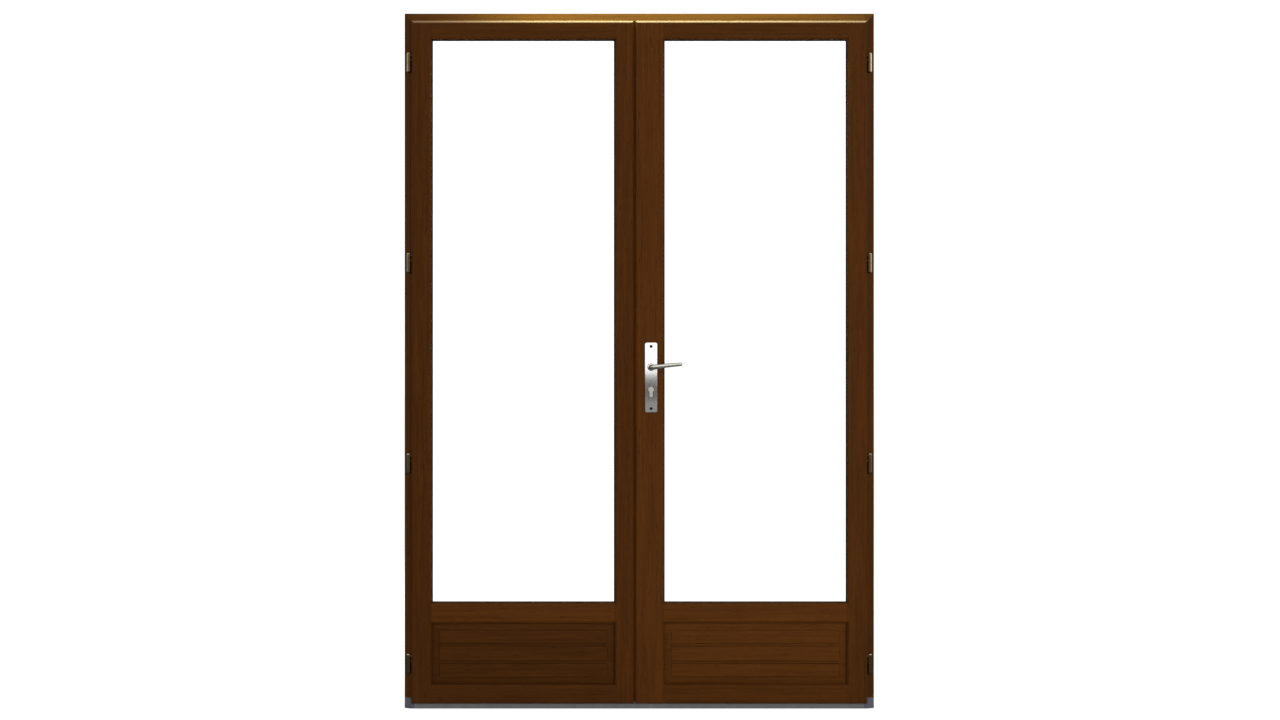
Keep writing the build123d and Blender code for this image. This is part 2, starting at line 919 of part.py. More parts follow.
thumb_y = (lock_y - thumb_width / 2, lock_y + thumb_width / 2)
for place, (end_z, inward, throw) in zip(("top", "bottom"), flush_ends):
    plate_blank = slab(
        flush_x,
        left_edge,
        *plate_y,
        *flush_span(end_z, inward, 0, flush_plate_height),
    )
    slot = slab(
        flush_x - overrun,
        left_edge + overrun,
        thumb_y[0] - fit,
        thumb_y[1] + fit,
        *thumb_slot(end_z, inward, throw),
    )
    bar = slab(*flush_limits, *flush_span(end_z, inward, 0, flush_bolt_length))
    thumb = slab(
        flush_limits[1],
        left_edge - thumb_sink,
        *thumb_y,
        *flush_thumb(end_z, inward),
    )
    with BuildPart() as flush_plate:
        add(plate_blank)
        add(slot, mode=Mode.SUBTRACT)
    save(flush_plate.part, f"left_{place}_bolt_plate")
    with BuildPart() as flush_bolt:
        add(bar)
        add(thumb)
    save(flush_bolt.part, f"left_{place}_bolt")


# Right meeting stile, cut for the lock, the handles and the seal
def euro_outline(grow):
    """Outline of the lock cylinder, in the current sketch: a round over a narrow tail."""
    tail_low = cylinder_z + cylinder_radius - cylinder_length + cylinder_tail / 2
    with Locations((lever_x, cylinder_z)):
        Circle(cylinder_radius + grow)
    with Locations((lever_x, (tail_low + cylinder_z) / 2)):
        Rectangle(cylinder_tail + 2 * grow, cylinder_z - tail_low)
    with Locations((lever_x, tail_low)):
        Circle(cylinder_tail / 2 + grow)


cylinder_y = (face_y - plate_thickness - cylinder_proud, back_y + plate_thickness + cylinder_proud)
with BuildPart() as cylinder_way:
    with BuildSketch(facing(cylinder_y[0] - overrun)):
        euro_outline(fit)
    extrude(amount=cylinder_y[0] - cylinder_y[1] - 2 * overrun)

screw_places = [(lever_x, screw_low), (lever_x, screw_high)]
screw_end = back_y + plate_thickness / 2
case_y = (lock_y - lock_case_thickness / 2, lock_y + lock_case_thickness / 2)
rod_channel = slab(
    right_edge,
    channel_x,
    rod_y - rod_width / 2 - fit,
    rod_y + rod_width / 2 + fit,
    body_bottom - overrun,
    body_top + overrun,
)
faceplate_recess = slab(
    right_edge - overrun,
    case_x,
    *plate_y,
    body_bottom - overrun,
    body_top + overrun,
)
case_pocket = slab(
    right_edge,
    case_x + lock_case_depth + fit,
    case_y[0] - fit,
    case_y[1] + fit,
    case_bottom - fit,
    case_top + fit,
)
seal_mid_y = lip_y - meeting_seal_height


def meeting_seal_section():
    """Bulb seal in plan, rooted in the right leaf's edge, in the current line."""
    half = seal_width / 2
    Polyline(
        (right_edge, seal_mid_y - half),
        (right_edge + seal_root, seal_mid_y - half),
        (right_edge + seal_root, seal_mid_y + half),
        (right_edge, seal_mid_y + half),
    )
    ThreePointArc(
        (right_edge, seal_mid_y - half),
        (left_edge + touch_gap, seal_mid_y),
        (right_edge, seal_mid_y + half),
    )


seal_span = (lip_bottom + leaf_arris, lip_top - leaf_arris)
with BuildPart() as meeting_seal:
    with BuildSketch(Plane.XY.offset(seal_span[0])):
        with BuildLine():
            meeting_seal_section()
        make_face()
    extrude(amount=seal_span[1] - seal_span[0])
save(meeting_seal.part, "meeting_seal")

right_stile_blank = member(
    right_outline,
    slab(right_edge, sight_in, face_y, back_y, lip_bottom, lip_top),
    opening_cuts + mortises,
)
with BuildPart() as right_meeting_stile:
    add(right_stile_blank)
    for cut in (rod_channel, faceplate_recess, case_pocket, cylinder_way.part, meeting_seal.part):
        add(cut, mode=Mode.SUBTRACT)
    with BuildSketch(facing(face_y - overrun)):
        with Locations((lever_x, lever_height)):
            Circle(follower_radius + strike_play)
        with Locations(*screw_places):
            Circle(screw_radius + fit)
    extrude(amount=-(leaf_thickness + 2 * overrun), mode=Mode.SUBTRACT)
save(right_meeting_stile.part, "right_meeting_stile")

# Lock: case, long faceplate, rods and deadbolt
tang_low = lever_height + rod_overlap
tang_spans = {
    "top_rod": (tang_low, tang_low + tang_height),
    "bottom_rod": (2 * lever_height - tang_low - tang_height, 2 * lever_height - tang_low),
}
rod_spans = {
    "top_rod": (tang_spans["top_rod"][0], body_top),
    "bottom_rod": (body_bottom, tang_spans["bottom_rod"][1]),
}
rod_slides = {"top_rod": (0, rod_throw), "bottom_rod": (-rod_throw, 0)}
tang_slots = []
for name, (z_low, z_high) in tang_spans.items():
    down, up = rod_slides[name]
    tang_slots.append(
        slab(
            channel_x - overrun,
            rod_x + rod_thickness + tang_depth + fit,
            rod_y - rod_width / 2 - fit,
            rod_y + rod_width / 2 + fit,
            z_low + down - fit,
            z_high + up + fit,
        )
    )
    rod_bar = slab(*rod_limits, *rod_spans[name])
    tang = slab(
        rod_x + rod_thickness,
        rod_x + rod_thickness + tang_depth,
        rod_y - rod_width / 2,
        rod_y + rod_width / 2,
        z_low,
        z_high,
    )
    with BuildPart() as rod:
        add(rod_bar)
        add(tang)
    save(rod.part, name)

deadbolt = bolt_hole(right_edge, right_edge + bolt_length, 0)
save(deadbolt, "deadbolt")
bolt_way = bolt_hole(right_edge - overrun, right_edge + bolt_length + fit, fit)
case_blank = slab(case_x, case_x + lock_case_depth, *case_y, case_bottom, case_top)
with BuildPart() as lock_case:
    add(case_blank)
    for cut in (rod_channel, bolt_way, cylinder_way.part, *tang_slots):
        add(cut, mode=Mode.SUBTRACT)
    with BuildSketch(facing(case_y[0] - overrun)):
        with Locations((lever_x, lever_height)):
            Circle(follower_radius + running)
    extrude(amount=-(lock_case_thickness + 2 * overrun), mode=Mode.SUBTRACT)
save(lock_case.part, "lock_case")

faceplate_blank = slab(right_edge, case_x, *plate_y, body_bottom, body_top)
with BuildPart() as lock_faceplate:
    add(faceplate_blank)
    add(bolt_way, mode=Mode.SUBTRACT)
save(lock_faceplate.part, "lock_faceplate")

# Lock cylinder and the plug that the key turns
with BuildPart() as cylinder_body:
    with BuildSketch(facing(cylinder_y[0])):
        euro_outline(0)
        with Locations((lever_x, cylinder_z)):
            Circle(plug_radius + running, mode=Mode.SUBTRACT)
    extrude(amount=cylinder_y[0] - cylinder_y[1])
save(cylinder_body.part, "cylinder_body")

key_slots = [
    slab(
        lever_x - key_slot_width / 2,
        lever_x + key_slot_width / 2,
        y_low,
        y_high,
        cylinder_z - key_slot_height / 2,
        cylinder_z + key_slot_height / 2,
    )
    for y_low, y_high in (
        (cylinder_y[0] - overrun, cylinder_y[0] + key_slot_depth),
        (cylinder_y[1] - key_slot_depth, cylinder_y[1] + overrun),
    )
]
with BuildPart() as cylinder_plug:
    with BuildSketch(facing(cylinder_y[0])):
        with Locations((lever_x, cylinder_z)):
            Circle(plug_radius)
    extrude(amount=cylinder_y[0] - cylinder_y[1])
    for slot in key_slots:
        add(slot, mode=Mode.SUBTRACT)
save(cylinder_plug.part, "cylinder_plug")


# Handle plates and their screws
def screw(place, slack):
    """Countersunk screw through both plates, or its hole."""
    x, z = place
    head_y = face_y - plate_thickness
    depth = screw_head_radius - screw_radius
    with BuildPart() as bolt:
        with BuildSketch(facing(head_y)):
            with Locations((x, z)):
                Circle(screw_head_radius + slack)
        with BuildSketch(facing(head_y + depth)):
            with Locations((x, z)):
                Circle(screw_radius + slack)
        loft()
        with BuildSketch(facing(head_y + depth)):
            with Locations((x, z)):
                Circle(screw_radius + slack)
        extrude(amount=head_y + depth - screw_end)
    return bolt.part


screws = [screw(place, 0) for place in screw_places]
screw_holes = [screw(place, fit) for place in screw_places]
plate_screws = Compound(children=[s.solids()[0] for s in screws])
save(plate_screws, "plate_screws")


def handle_plate(y_low, y_high, proud_face):
    """Long rounded plate with the lever, cylinder and screw holes."""
    with BuildPart() as plate:
        with BuildSketch(facing(y_low)):
            with Locations((lever_x, plate_z)):
                RectangleRounded(plate_width, plate_height, plate_corner)
        extrude(amount=y_low - y_high)
        fillet(plate.faces().sort_by(Axis.Y)[proud_face].edges(), radius=plate_arris)
        add(cylinder_way.part, mode=Mode.SUBTRACT)
        for hole in screw_holes:
            add(hole, mode=Mode.SUBTRACT)
        with BuildSketch(facing(y_low - overrun)):
            with Locations((lever_x, lever_height)):
                Circle(shank_radius + running)
        extrude(amount=y_low - y_high - 2 * overrun, mode=Mode.SUBTRACT)
    return plate.part


save(handle_plate(face_y - plate_thickness, face_y, 0), "inside_plate")
save(handle_plate(back_y, back_y + plate_thickness, -1), "outside_plate")

# Levers: a turned hub, a bend and a tapering arm that rises a little
plate_face = face_y - plate_thickness
collar_y = plate_face - touch_gap
neck_y = collar_y - neck_reach
arm_line = Vector(cos(radians(arm_tilt)), 0, sin(radians(arm_tilt)))
outwards = Vector(0, -1, 0)
neck_end = Vector(lever_x, neck_y, lever_height)
bend_centre = neck_end + arm_line * bend_radius
arm_start = bend_centre + outwards * bend_radius
bend_mid = bend_centre + (outwards - arm_line) * (bend_radius / sqrt(2))
arm_end = arm_start + arm_line * (arm_length - bend_radius)
square_way = slab(
    lever_x - spindle_size / 2 - running,
    lever_x + spindle_size / 2 + running,
    plate_face - square_depth,
    face_y + overrun,
    lever_height - spindle_size / 2 - running,
    lever_height + spindle_size / 2 + running,
)
with BuildPart() as inside_lever:
    with BuildSketch(Plane((lever_x, 0, lever_height), x_dir=(1, 0, 0), z_dir=(0, 0, 1))):
        with BuildLine():
            Polyline(
                (neck_radius, neck_y),
                (0, neck_y),
                (0, face_y),
                (shank_radius, face_y),
                (shank_radius, collar_y),
                (collar_radius, collar_y),
                (collar_radius, collar_y - collar_height / 2),
            )
            Spline(
                (collar_radius, collar_y - collar_height / 2),
                (shank_radius, collar_y - collar_height),
                (neck_radius, neck_y),
                tangents=((0, -1), (0, -1)),
            )
        make_face()
    revolve(axis=Axis((lever_x, 0, lever_height), (0, 1, 0)))
    with BuildLine():
        ThreePointArc(neck_end, bend_mid, arm_start)
    with BuildSketch(Plane(neck_end, x_dir=(1, 0, 0), z_dir=outwards)):
        Circle(neck_radius)
    sweep()
    with BuildSketch(Plane(arm_start, x_dir=(0, 1, 0), z_dir=arm_line)):
        Circle(neck_radius)
    with BuildSketch(Plane(arm_end, x_dir=(0, 1, 0), z_dir=arm_line)):
        Ellipse(arm_tip_depth / 2, arm_tip_width / 2)
    loft()
    tip_face = inside_lever.faces().sort_by(Axis(arm_start, arm_line))[-1]
    fillet(tip_face.edges(), radius=arm_tip_round)
    add(square_way, mode=Mode.SUBTRACT)
save(inside_lever.part, "inside_lever")
outside_lever = mirror(inside_lever.part, about=facing(mid_y), mode=Mode.PRIVATE)
save(outside_lever, "outside_lever")

# Square spindle, with the round follower that turns in the lock
spindle_y = (plate_face - square_depth + fit, 2 * mid_y - plate_face + square_depth - fit)
spindle_bar = slab(
    lever_x - spindle_size / 2,
    lever_x + spindle_size / 2,
    *spindle_y,
    lever_height - spindle_size / 2,
    lever_height + spindle_size / 2,
)
with BuildPart() as spindle:
    add(spindle_bar)
    with BuildSketch(facing(case_y[0])):
        with Locations((lever_x, lever_height)):
            Circle(follower_radius)
    extrude(amount=-lock_case_thickness)
save(spindle.part, "spindle")
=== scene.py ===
"""Looks of the french doors: finishes, small fittings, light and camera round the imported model."""

import math

import bmesh
import bpy
from mathutils import Matrix, Vector


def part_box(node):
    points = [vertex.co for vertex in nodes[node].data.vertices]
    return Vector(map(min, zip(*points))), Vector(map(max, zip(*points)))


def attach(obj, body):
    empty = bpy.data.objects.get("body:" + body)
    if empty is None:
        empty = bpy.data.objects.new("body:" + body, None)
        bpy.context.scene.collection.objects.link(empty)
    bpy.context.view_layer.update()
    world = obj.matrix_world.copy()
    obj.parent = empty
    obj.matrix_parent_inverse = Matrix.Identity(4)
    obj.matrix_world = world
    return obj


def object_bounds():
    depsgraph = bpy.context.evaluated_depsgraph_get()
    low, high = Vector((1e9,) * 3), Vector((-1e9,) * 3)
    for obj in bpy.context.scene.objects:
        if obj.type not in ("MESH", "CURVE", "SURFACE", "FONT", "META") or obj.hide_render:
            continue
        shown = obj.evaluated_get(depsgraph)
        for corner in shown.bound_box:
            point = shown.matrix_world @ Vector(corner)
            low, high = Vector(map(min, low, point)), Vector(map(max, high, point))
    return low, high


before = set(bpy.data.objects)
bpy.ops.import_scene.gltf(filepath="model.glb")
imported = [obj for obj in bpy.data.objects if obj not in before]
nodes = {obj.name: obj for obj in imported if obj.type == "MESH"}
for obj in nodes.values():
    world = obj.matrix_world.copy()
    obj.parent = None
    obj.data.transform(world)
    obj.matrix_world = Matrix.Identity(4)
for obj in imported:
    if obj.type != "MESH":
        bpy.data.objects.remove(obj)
cad_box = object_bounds()

bl_info = {
    "name": "French doors",
    "version": (1, 0, 0),
    "blender": (4, 5, 0),
    "location": "3D View > Sidebar > French doors",
    "description": "Finishes, small fittings and stage for glazed wooden doors in their frame",
    "category": "Object",
}

MM = 0.001
LEAVES = ("left", "right")

# Places on the leaves that the fittings sit on, in metres; the left leaf mirrors the right
ROOM_FACE = -0.046
GLASS_ROOM = -0.028
GLASS_OUTSIDE = -0.004
SIGHT = (0.077, 0.653, 0.334, 2.106)
BEAD_SIGHT = (0.075, 0.655, 0.332, 2.108)
RAIL_SPANS = ((2.112, 2.156), (0.277, 0.328), (0.023, 0.071))
BEAD_FACE = 0.010
LEAF_TOP = 2.164
LOCK_LINE = -0.016
LEVER_AXIS = (0.037, 1.075)

# Heights of the screws: of the faceplate's over the floor, of the others over their plate's end
FACEPLATE_SCREWS = (0.06, 0.36, 0.66, 0.945, 1.005, 1.10, 1.28, 1.56, 1.84, 2.12)
MEETING_EDGE_SCREWS = {
    "left_top_bolt_plate": (0.008,),
    "left_bottom_bolt_plate": (0.172,),
    "deadbolt_keep": (0.008, 0.052),
}

# Which finish each node of the model takes; boards with their grain's axis and their stain's tone
BOARDS = {
    "stained_hardwood_upright": ("Z", 1.0, ("left_jamb",)),
    "stained_hardwood_upright_deep": (
        "Z",
        0.92,
        ("right_jamb", "left_hinge_stile", "right_hinge_stile", "left_meeting_stile"),
    ),
    "stained_hardwood_upright_pale": ("Z", 1.10, ("right_meeting_stile",)),
    "stained_hardwood_level": (
        "X",
        1.0,
        (
            "head",
            "left_top_rail",
            "right_top_rail",
            "right_bottom_rail",
            "left_drip_rail",
            "right_drip_rail",
        ),
    ),
    "stained_hardwood_level_deep": ("X", 0.90, ("left_panel", "left_bottom_rail")),
    "stained_hardwood_level_pale": ("X", 1.22, ("left_mid_rail", "right_mid_rail", "right_panel")),
    "stained_hardwood_mitred": ("ring", 1.0, ("left_glazing_beads", "right_glazing_beads")),
}
GLASS = ("left_glass_panes", "right_glass_panes")
SPACERS = ("left_glass_spacer", "right_glass_spacer")
SEALS = ("frame_seal", "threshold_seal", "meeting_seal")
BLOCKS = ("left_end_block", "right_end_block")
HINGES = tuple(
    f"{side}_{part}"
    for side in LEAVES
    for part in ("frame_knuckles", "leaf_knuckles", "hinge_pins")
)
WASHERS = ("left_hinge_washers", "right_hinge_washers")
PLATES = ("inside_plate", "outside_plate")
LEVERS = ("inside_lever", "outside_lever")
CYLINDER = ("cylinder_body", "cylinder_plug")
ZINC = (
    "head_strike",
    "threshold_strike",
    "left_top_bolt_plate",
    "left_bottom_bolt_plate",
    "left_top_bolt",
    "left_bottom_bolt",
    "deadbolt_keep",
    "lock_case",
    "lock_faceplate",
    "top_rod",
    "bottom_rod",
    "deadbolt",
    "spindle",
)


class FrenchDoorsWood(bpy.types.PropertyGroup):
    """Stain and grain of the wood."""

    stain: bpy.props.StringProperty(
        name="Stain", description="Main colour of the stained wood", default="#45250A"
    )
    stain_dark: bpy.props.StringProperty(
        name="Dark grain", description="Colour of the dark grain", default="#3E2008"
    )
    stain_light: bpy.props.StringProperty(
        name="Light grain", description="Colour of the light grain", default="#4B290C"
    )
    pore: bpy.props.StringProperty(
        name="Pores", description="Colour of the open pores", default="#2A1607"
    )
    worn: bpy.props.StringProperty(
        name="Worn edge", description="Colour where the stain thins", default="#6A3F1B"
    )
    grain_width: bpy.props.FloatProperty(
        name="Grain width",
        description="Width of a grain streak",
        default=0.007,
        unit="LENGTH",
        subtype="DISTANCE",
    )
    grain_length: bpy.props.FloatProperty(
        name="Grain length",
        description="Length of a grain streak",
        default=0.24,
        unit="LENGTH",
        subtype="DISTANCE",
    )
    pore_width: bpy.props.FloatProperty(
        name="Pore width",
        description="Width of a pore as drawn",
        default=0.0016,
        unit="LENGTH",
        subtype="DISTANCE",
    )
    pore_length: bpy.props.FloatProperty(
        name="Pore length",
        description="Length of a pore as drawn",
        default=0.03,
        unit="LENGTH",
        subtype="DISTANCE",
    )
    # Painted shade: how far the wood is darkened round hollows and corners
    hollow_shade: bpy.props.FloatProperty(
        name="Hollows",
        description="Reach of the painted shade in hollows",
        default=0.006,
        unit="LENGTH",
        subtype="DISTANCE",
    )
    # Painted highlight: pale colour painted on the leaves' rounded tops
    painted_highlight: bpy.props.StringProperty(
        name="Painted top highlight", description="Colour of the leaves' rounded tops", default="#765640"
    )
    arris: bpy.props.FloatProperty(
        name="Sanded edge",
        description="Radius of the sanded edges",
        default=0.0015,
        unit="LENGTH",
        subtype="DISTANCE",
    )


class FrenchDoorsMetal(bpy.types.PropertyGroup):
    """Colours of the metals, plastics and rubber."""

    handle: bpy.props.StringProperty(
        name="Handles", description="Anodised handle metal", default="#FBFBF9"
    )
    lever: bpy.props.StringProperty(
        name="Levers", description="Anodised lever metal", default="#DCD9CE"
    )
    hinge: bpy.props.StringProperty(
        name="Hinges", description="Yellow passivated hinge metal", default="#5F4C33"
    )
    # Painted highlight on the hinges' domed tops and outer sides
    hinge_highlight: bpy.props.StringProperty(
        name="Bright hinge", description="Hinge metal where it is rubbed", default="#E8CDAC"
    )
    zinc: bpy.props.StringProperty(
        name="Lock steel", description="Zinc plated lock steel", default="#C4C6C6"
    )
    cylinder: bpy.props.StringProperty(
        name="Cylinder", description="Nickel plated cylinder", default="#E2DDD0"
    )
    threshold: bpy.props.StringProperty(
        name="Threshold", description="Anodised threshold", default="#8A888B"
    )
    block: bpy.props.StringProperty(
        name="End blocks", description="Moulded end blocks", default="#55525A"
    )
    lip: bpy.props.StringProperty(
        name="Lip", description="Brown rubber lip in the meeting gap", default="#3C1F08"
    )
    rubber: bpy.props.StringProperty(
        name="Seals", description="Rubber of seals and gaskets", default="#1C1A19"
    )


class FrenchDoorsFittings(bpy.types.PropertyGroup):
    """Sizes of the small fittings that the scene adds."""

    gasket: bpy.props.FloatProperty(
        name="Gasket",
        description="Width of the gasket round the glass",
        default=0.003,
        unit="LENGTH",
        subtype="DISTANCE",
    )
    screw_radius: bpy.props.FloatProperty(
        name="Screw head",
        description="Radius of a screw head",
        default=0.0034,
        unit="LENGTH",
        subtype="DISTANCE",
    )
    pin_pitch: bpy.props.FloatProperty(
        name="Bead pins",
        description="Distance between bead pins",
        default=0.22,
        unit="LENGTH",
        subtype="DISTANCE",
    )
    joint_line: bpy.props.FloatProperty(
        name="Joint line",
        description="Width of the line at a rail's shoulder",
        default=0.0008,
        unit="LENGTH",
        subtype="DISTANCE",
    )


class FrenchDoorsStage(bpy.types.PropertyGroup):
    """Camera and light."""

    distance: bpy.props.FloatProperty(
        name="Camera distance",
        description="From the camera to the middle of the frame",
        default=7.0,
        unit="LENGTH",
        subtype="DISTANCE",
    )
    lens: bpy.props.FloatProperty(
        name="Lens", description="Focal length in millimetres", default=62.26, unit="CAMERA"
    )
    key_power: bpy.props.FloatProperty(
        name="Key", description="Power of the front light", default=112.0, unit="POWER"
    )
    back_power: bpy.props.FloatProperty(
        name="Back", description="Power of the back light", default=90.0, unit="POWER"
    )
    top_power: bpy.props.FloatProperty(
        name="Top", description="Power of the light over the head", default=28.5, unit="POWER"
    )
    top_tint: bpy.props.StringProperty(
        name="Top colour", description="Light over the head", default="#D2FFE6"
    )
    ambient: bpy.props.FloatProperty(
        name="Ambient", description="Light from all round", default=0.55
    )
    white: bpy.props.FloatProperty(
        name="White", description="Brightness of the white background", default=1.15
    )
    floor: bpy.props.StringProperty(name="Floor", description="Pale floor", default="#E9E8E5")
    # Painted reflection: the floor's colour in reflections, darker than its own
    floor_painted_in_reflections: bpy.props.StringProperty(
        name="Floor in metal", description="Floor as metal shows it", default="#757472"
    )
    floor_glow: bpy.props.FloatProperty(
        name="Floor glow", description="Brightness that whitens the floor", default=1.8
    )
    floor_share: bpy.props.FloatProperty(
        name="Floor share",
        description="Share of the glow to the eye",
        default=0.42,
        min=0.0,
        max=1.0,
        subtype="FACTOR",
    )
    glass_share: bpy.props.FloatProperty(
        name="Glass share",
        description="Share of the glow through glass",
        default=0.62,
        min=0.0,
        max=1.0,
        subtype="FACTOR",
    )


def linear(code, tone=1.0):
    """Linear colour of an sRGB hex value, made darker or lighter by a tone."""
    values = [int(code[n : n + 2], 16) / 255 for n in (1, 3, 5)]
    values = [v / 12.92 if v <= 0.04045 else ((v + 0.055) / 1.055) ** 2.4 for v in values]
    return [tone * v for v in values] + [1.0]


def add_node(tree, kind, inputs=None, stops=None, **settings):
    """One shader node with its settings; an input is a value or the socket that feeds it."""
    node = tree.nodes.new(kind)
    for key, value in settings.items():
        setattr(node, key, value)
    for key, value in (inputs or {}).items():
        if isinstance(value, bpy.types.NodeSocket):
            tree.links.new(value, node.inputs[key])
        else:
            node.inputs[key].default_value = value
    if stops:
        ramp = node.color_ramp
        while len(ramp.elements) < len(stops):
            ramp.elements.new(1.0)
        for element, (place, colour) in zip(ramp.elements, stops):
            element.position = place
            element.color = colour
    return node


def new_material(name):
    """Empty node material and its tree."""
    material = bpy.data.materials.new(name)
    material.use_nodes = True
    material.node_tree.nodes.clear()
    return material, material.node_tree


def close_material(tree, shader):
    """Joins the last shader to the output."""
    add_node(tree, "ShaderNodeOutputMaterial", {"Surface": shader.outputs[0]})


def dress(names, material):
    """Gives nodes of the model one material."""
    for name in names:
        if name not in nodes:
            raise RuntimeError(f"no node named {name}")
        slots = nodes[name].data.materials
        slots.clear()
        slots.append(material)


def upright_side(tree, place):
    """One on the upright sides of the glazing beads, zero on the level ones, up to the mitres."""
    x_low, x_high, z_low, z_high = BEAD_SIGHT
    apart = add_node(tree, "ShaderNodeSeparateXYZ", {"Vector": place})
    reach = []
    for source, low, high in (
        (apart.outputs["X"], x_low, x_high),
        (apart.outputs["Z"], z_low, z_high),
    ):
        size = add_node(tree, "ShaderNodeMath", {0: source}, operation="ABSOLUTE")
        off = add_node(
            tree, "ShaderNodeMath", {0: size.outputs[0], 1: (low + high) / 2}, operation="SUBTRACT"
        )
        off = add_node(tree, "ShaderNodeMath", {0: off.outputs[0]}, operation="ABSOLUTE")
        off = add_node(
            tree, "ShaderNodeMath", {0: off.outputs[0], 1: (high - low) / 2}, operation="SUBTRACT"
        )
        reach.append(off.outputs[0])
    return add_node(
        tree, "ShaderNodeMath", {0: reach[0], 1: reach[1]}, operation="GREATER_THAN"
    ).outputs[0]


def stained_hardwood(name, axis, tone=1.0):
    """Hardwood, planed, stained dark and varnished satin, with its grain along one axis.

    On a ring the grain follows each side and turns at the mitres. Boards take the stain paler or
    deeper, by their tone. The eye sees soft streaks along the grain, short dark pores, a low
    sheen and paler edges, with a painted highlight on the leaves' rounded tops and painted shade
    in hollows and corners.
    """
    look = bpy.context.scene.french_doors_wood
    material, tree = new_material(name)
    place = add_node(tree, "ShaderNodeTexCoord")
    board = add_node(tree, "ShaderNodeObjectInfo")
    shift = add_node(
        tree, "ShaderNodeMath", {0: board.outputs["Random"], 1: 13.7}, operation="MULTIPLY"
    )
    moved = add_node(
        tree,
        "ShaderNodeVectorMath",
        {0: place.outputs["Object"], 1: shift.outputs[0]},
        operation="ADD",
    )

    if axis == "ring":
        upright = upright_side(tree, place.outputs["Object"])

    def streaks(width, length, detail, roughness, distortion):
        """Noise drawn out along the grain."""
        across, along = 1 / width, 1 / length
        level_scale, upright_scale = (along, across, across), (across, across, along)
        spread = add_node(
            tree,
            "ShaderNodeMapping",
            {"Vector": moved.outputs[0], "Scale": level_scale if axis == "X" else upright_scale},
        )
        vector = spread.outputs[0]
        if axis == "ring":
            level_spread = add_node(
                tree, "ShaderNodeMapping", {"Vector": moved.outputs[0], "Scale": level_scale}
            )
            sides = add_node(
                tree,
                "ShaderNodeMix",
                {0: upright, 4: level_spread.outputs[0], 5: vector},
                data_type="VECTOR",
            )
            vector = sides.outputs[1]
        return add_node(
            tree,
            "ShaderNodeTexNoise",
            {
                "Vector": vector,
                "Scale": 1.0,
                "Detail": detail,
                "Roughness": roughness,
                "Distortion": distortion,
            },
        ).outputs["Fac"]

    grain = streaks(look.grain_width, look.grain_length, 5.0, 0.55, 0.6)
    bands = streaks(look.grain_width * 7, look.grain_length * 4, 2.0, 0.5, 1.2)
    # Real pores are about 0.3 mm wide, too fine to show, so they are drawn wider
    pores = streaks(look.pore_width, look.pore_length, 2.0, 0.5, 0.0)
    stain = add_node(
        tree,
        "ShaderNodeValToRGB",
        {"Fac": grain},
        stops=[
            (0.30, linear(look.stain_dark)),
            (0.50, linear(look.stain)),
            (0.72, linear(look.stain_light)),
        ],
    )
    broad = add_node(
        tree,
        "ShaderNodeMapRange",
        {"Value": bands, "From Min": 0.3, "From Max": 0.7, "To Min": 0.90, "To Max": 1.10},
    )
    board_tone = add_node(
        tree,
        "ShaderNodeMapRange",
        {"Value": board.outputs["Random"], "To Min": 0.95 * tone, "To Max": 1.05 * tone},
    )
    level = add_node(
        tree,
        "ShaderNodeMath",
        {0: broad.outputs[0], 1: board_tone.outputs[0]},
        operation="MULTIPLY",
    )
    toned = add_node(
        tree,
        "ShaderNodeVectorMath",
        {0: stain.outputs[0], "Scale": level.outputs[0]},
        operation="SCALE",
    )
    pitted = add_node(
        tree, "ShaderNodeMapRange", {"Value": pores, "From Min": 0.62, "From Max": 0.72}
    )
    pored = add_node(
        tree,
        "ShaderNodeMix",
        {"Factor": pitted.outputs[0], "A": toned.outputs[0], "B": linear(look.pore)},
        data_type="RGBA",
    )
    soft = add_node(tree, "ShaderNodeBevel", {"Radius": look.arris}, samples=4)
    flat = add_node(tree, "ShaderNodeNewGeometry")
    facing = add_node(
        tree,
        "ShaderNodeVectorMath",
        {0: soft.outputs[0], 1: flat.outputs["Normal"]},
        operation="DOT_PRODUCT",
    )
    edge = add_node(
        tree,
        "ShaderNodeMapRange",
        {"Value": facing.outputs["Value"], "From Min": 0.98, "From Max": 0.80, "To Max": 0.55},
    )
    worn = add_node(
        tree,
        "ShaderNodeMix",
        {"Factor": edge.outputs[0], "A": pored.outputs["Result"], "B": linear(look.worn)},
        data_type="RGBA",
    )
    # Painted highlight: the leaves' rounded tops are painted pale, where the light over the head
    # falls
    turn = add_node(tree, "ShaderNodeSeparateXYZ", {"Vector": place.outputs["Normal"]})
    rounded = add_node(
        tree, "ShaderNodeMath", {0: turn.outputs["Y"], 1: turn.outputs["Z"]}, operation="MULTIPLY"
    )
    top_lit_share = add_node(
        tree,
        "ShaderNodeMapRange",
        {"Value": rounded.outputs[0], "From Min": -0.03, "From Max": -0.20},
    )
    apart = add_node(tree, "ShaderNodeSeparateXYZ", {"Vector": place.outputs["Object"]})
    near_top = add_node(
        tree,
        "ShaderNodeMath",
        {0: apart.outputs["Z"], 1: LEAF_TOP - 5 * MM, 2: 5.5 * MM},
        operation="COMPARE",
    )
    top_lit_share = add_node(
        tree, "ShaderNodeMath", {0: top_lit_share.outputs[0], 1: near_top.outputs[0]}, operation="MULTIPLY"
    )
    with_top_highlight = add_node(
        tree,
        "ShaderNodeMix",
        {"Factor": top_lit_share.outputs[0], "A": worn.outputs["Result"], "B": linear(look.painted_highlight)},
        data_type="RGBA",
    )
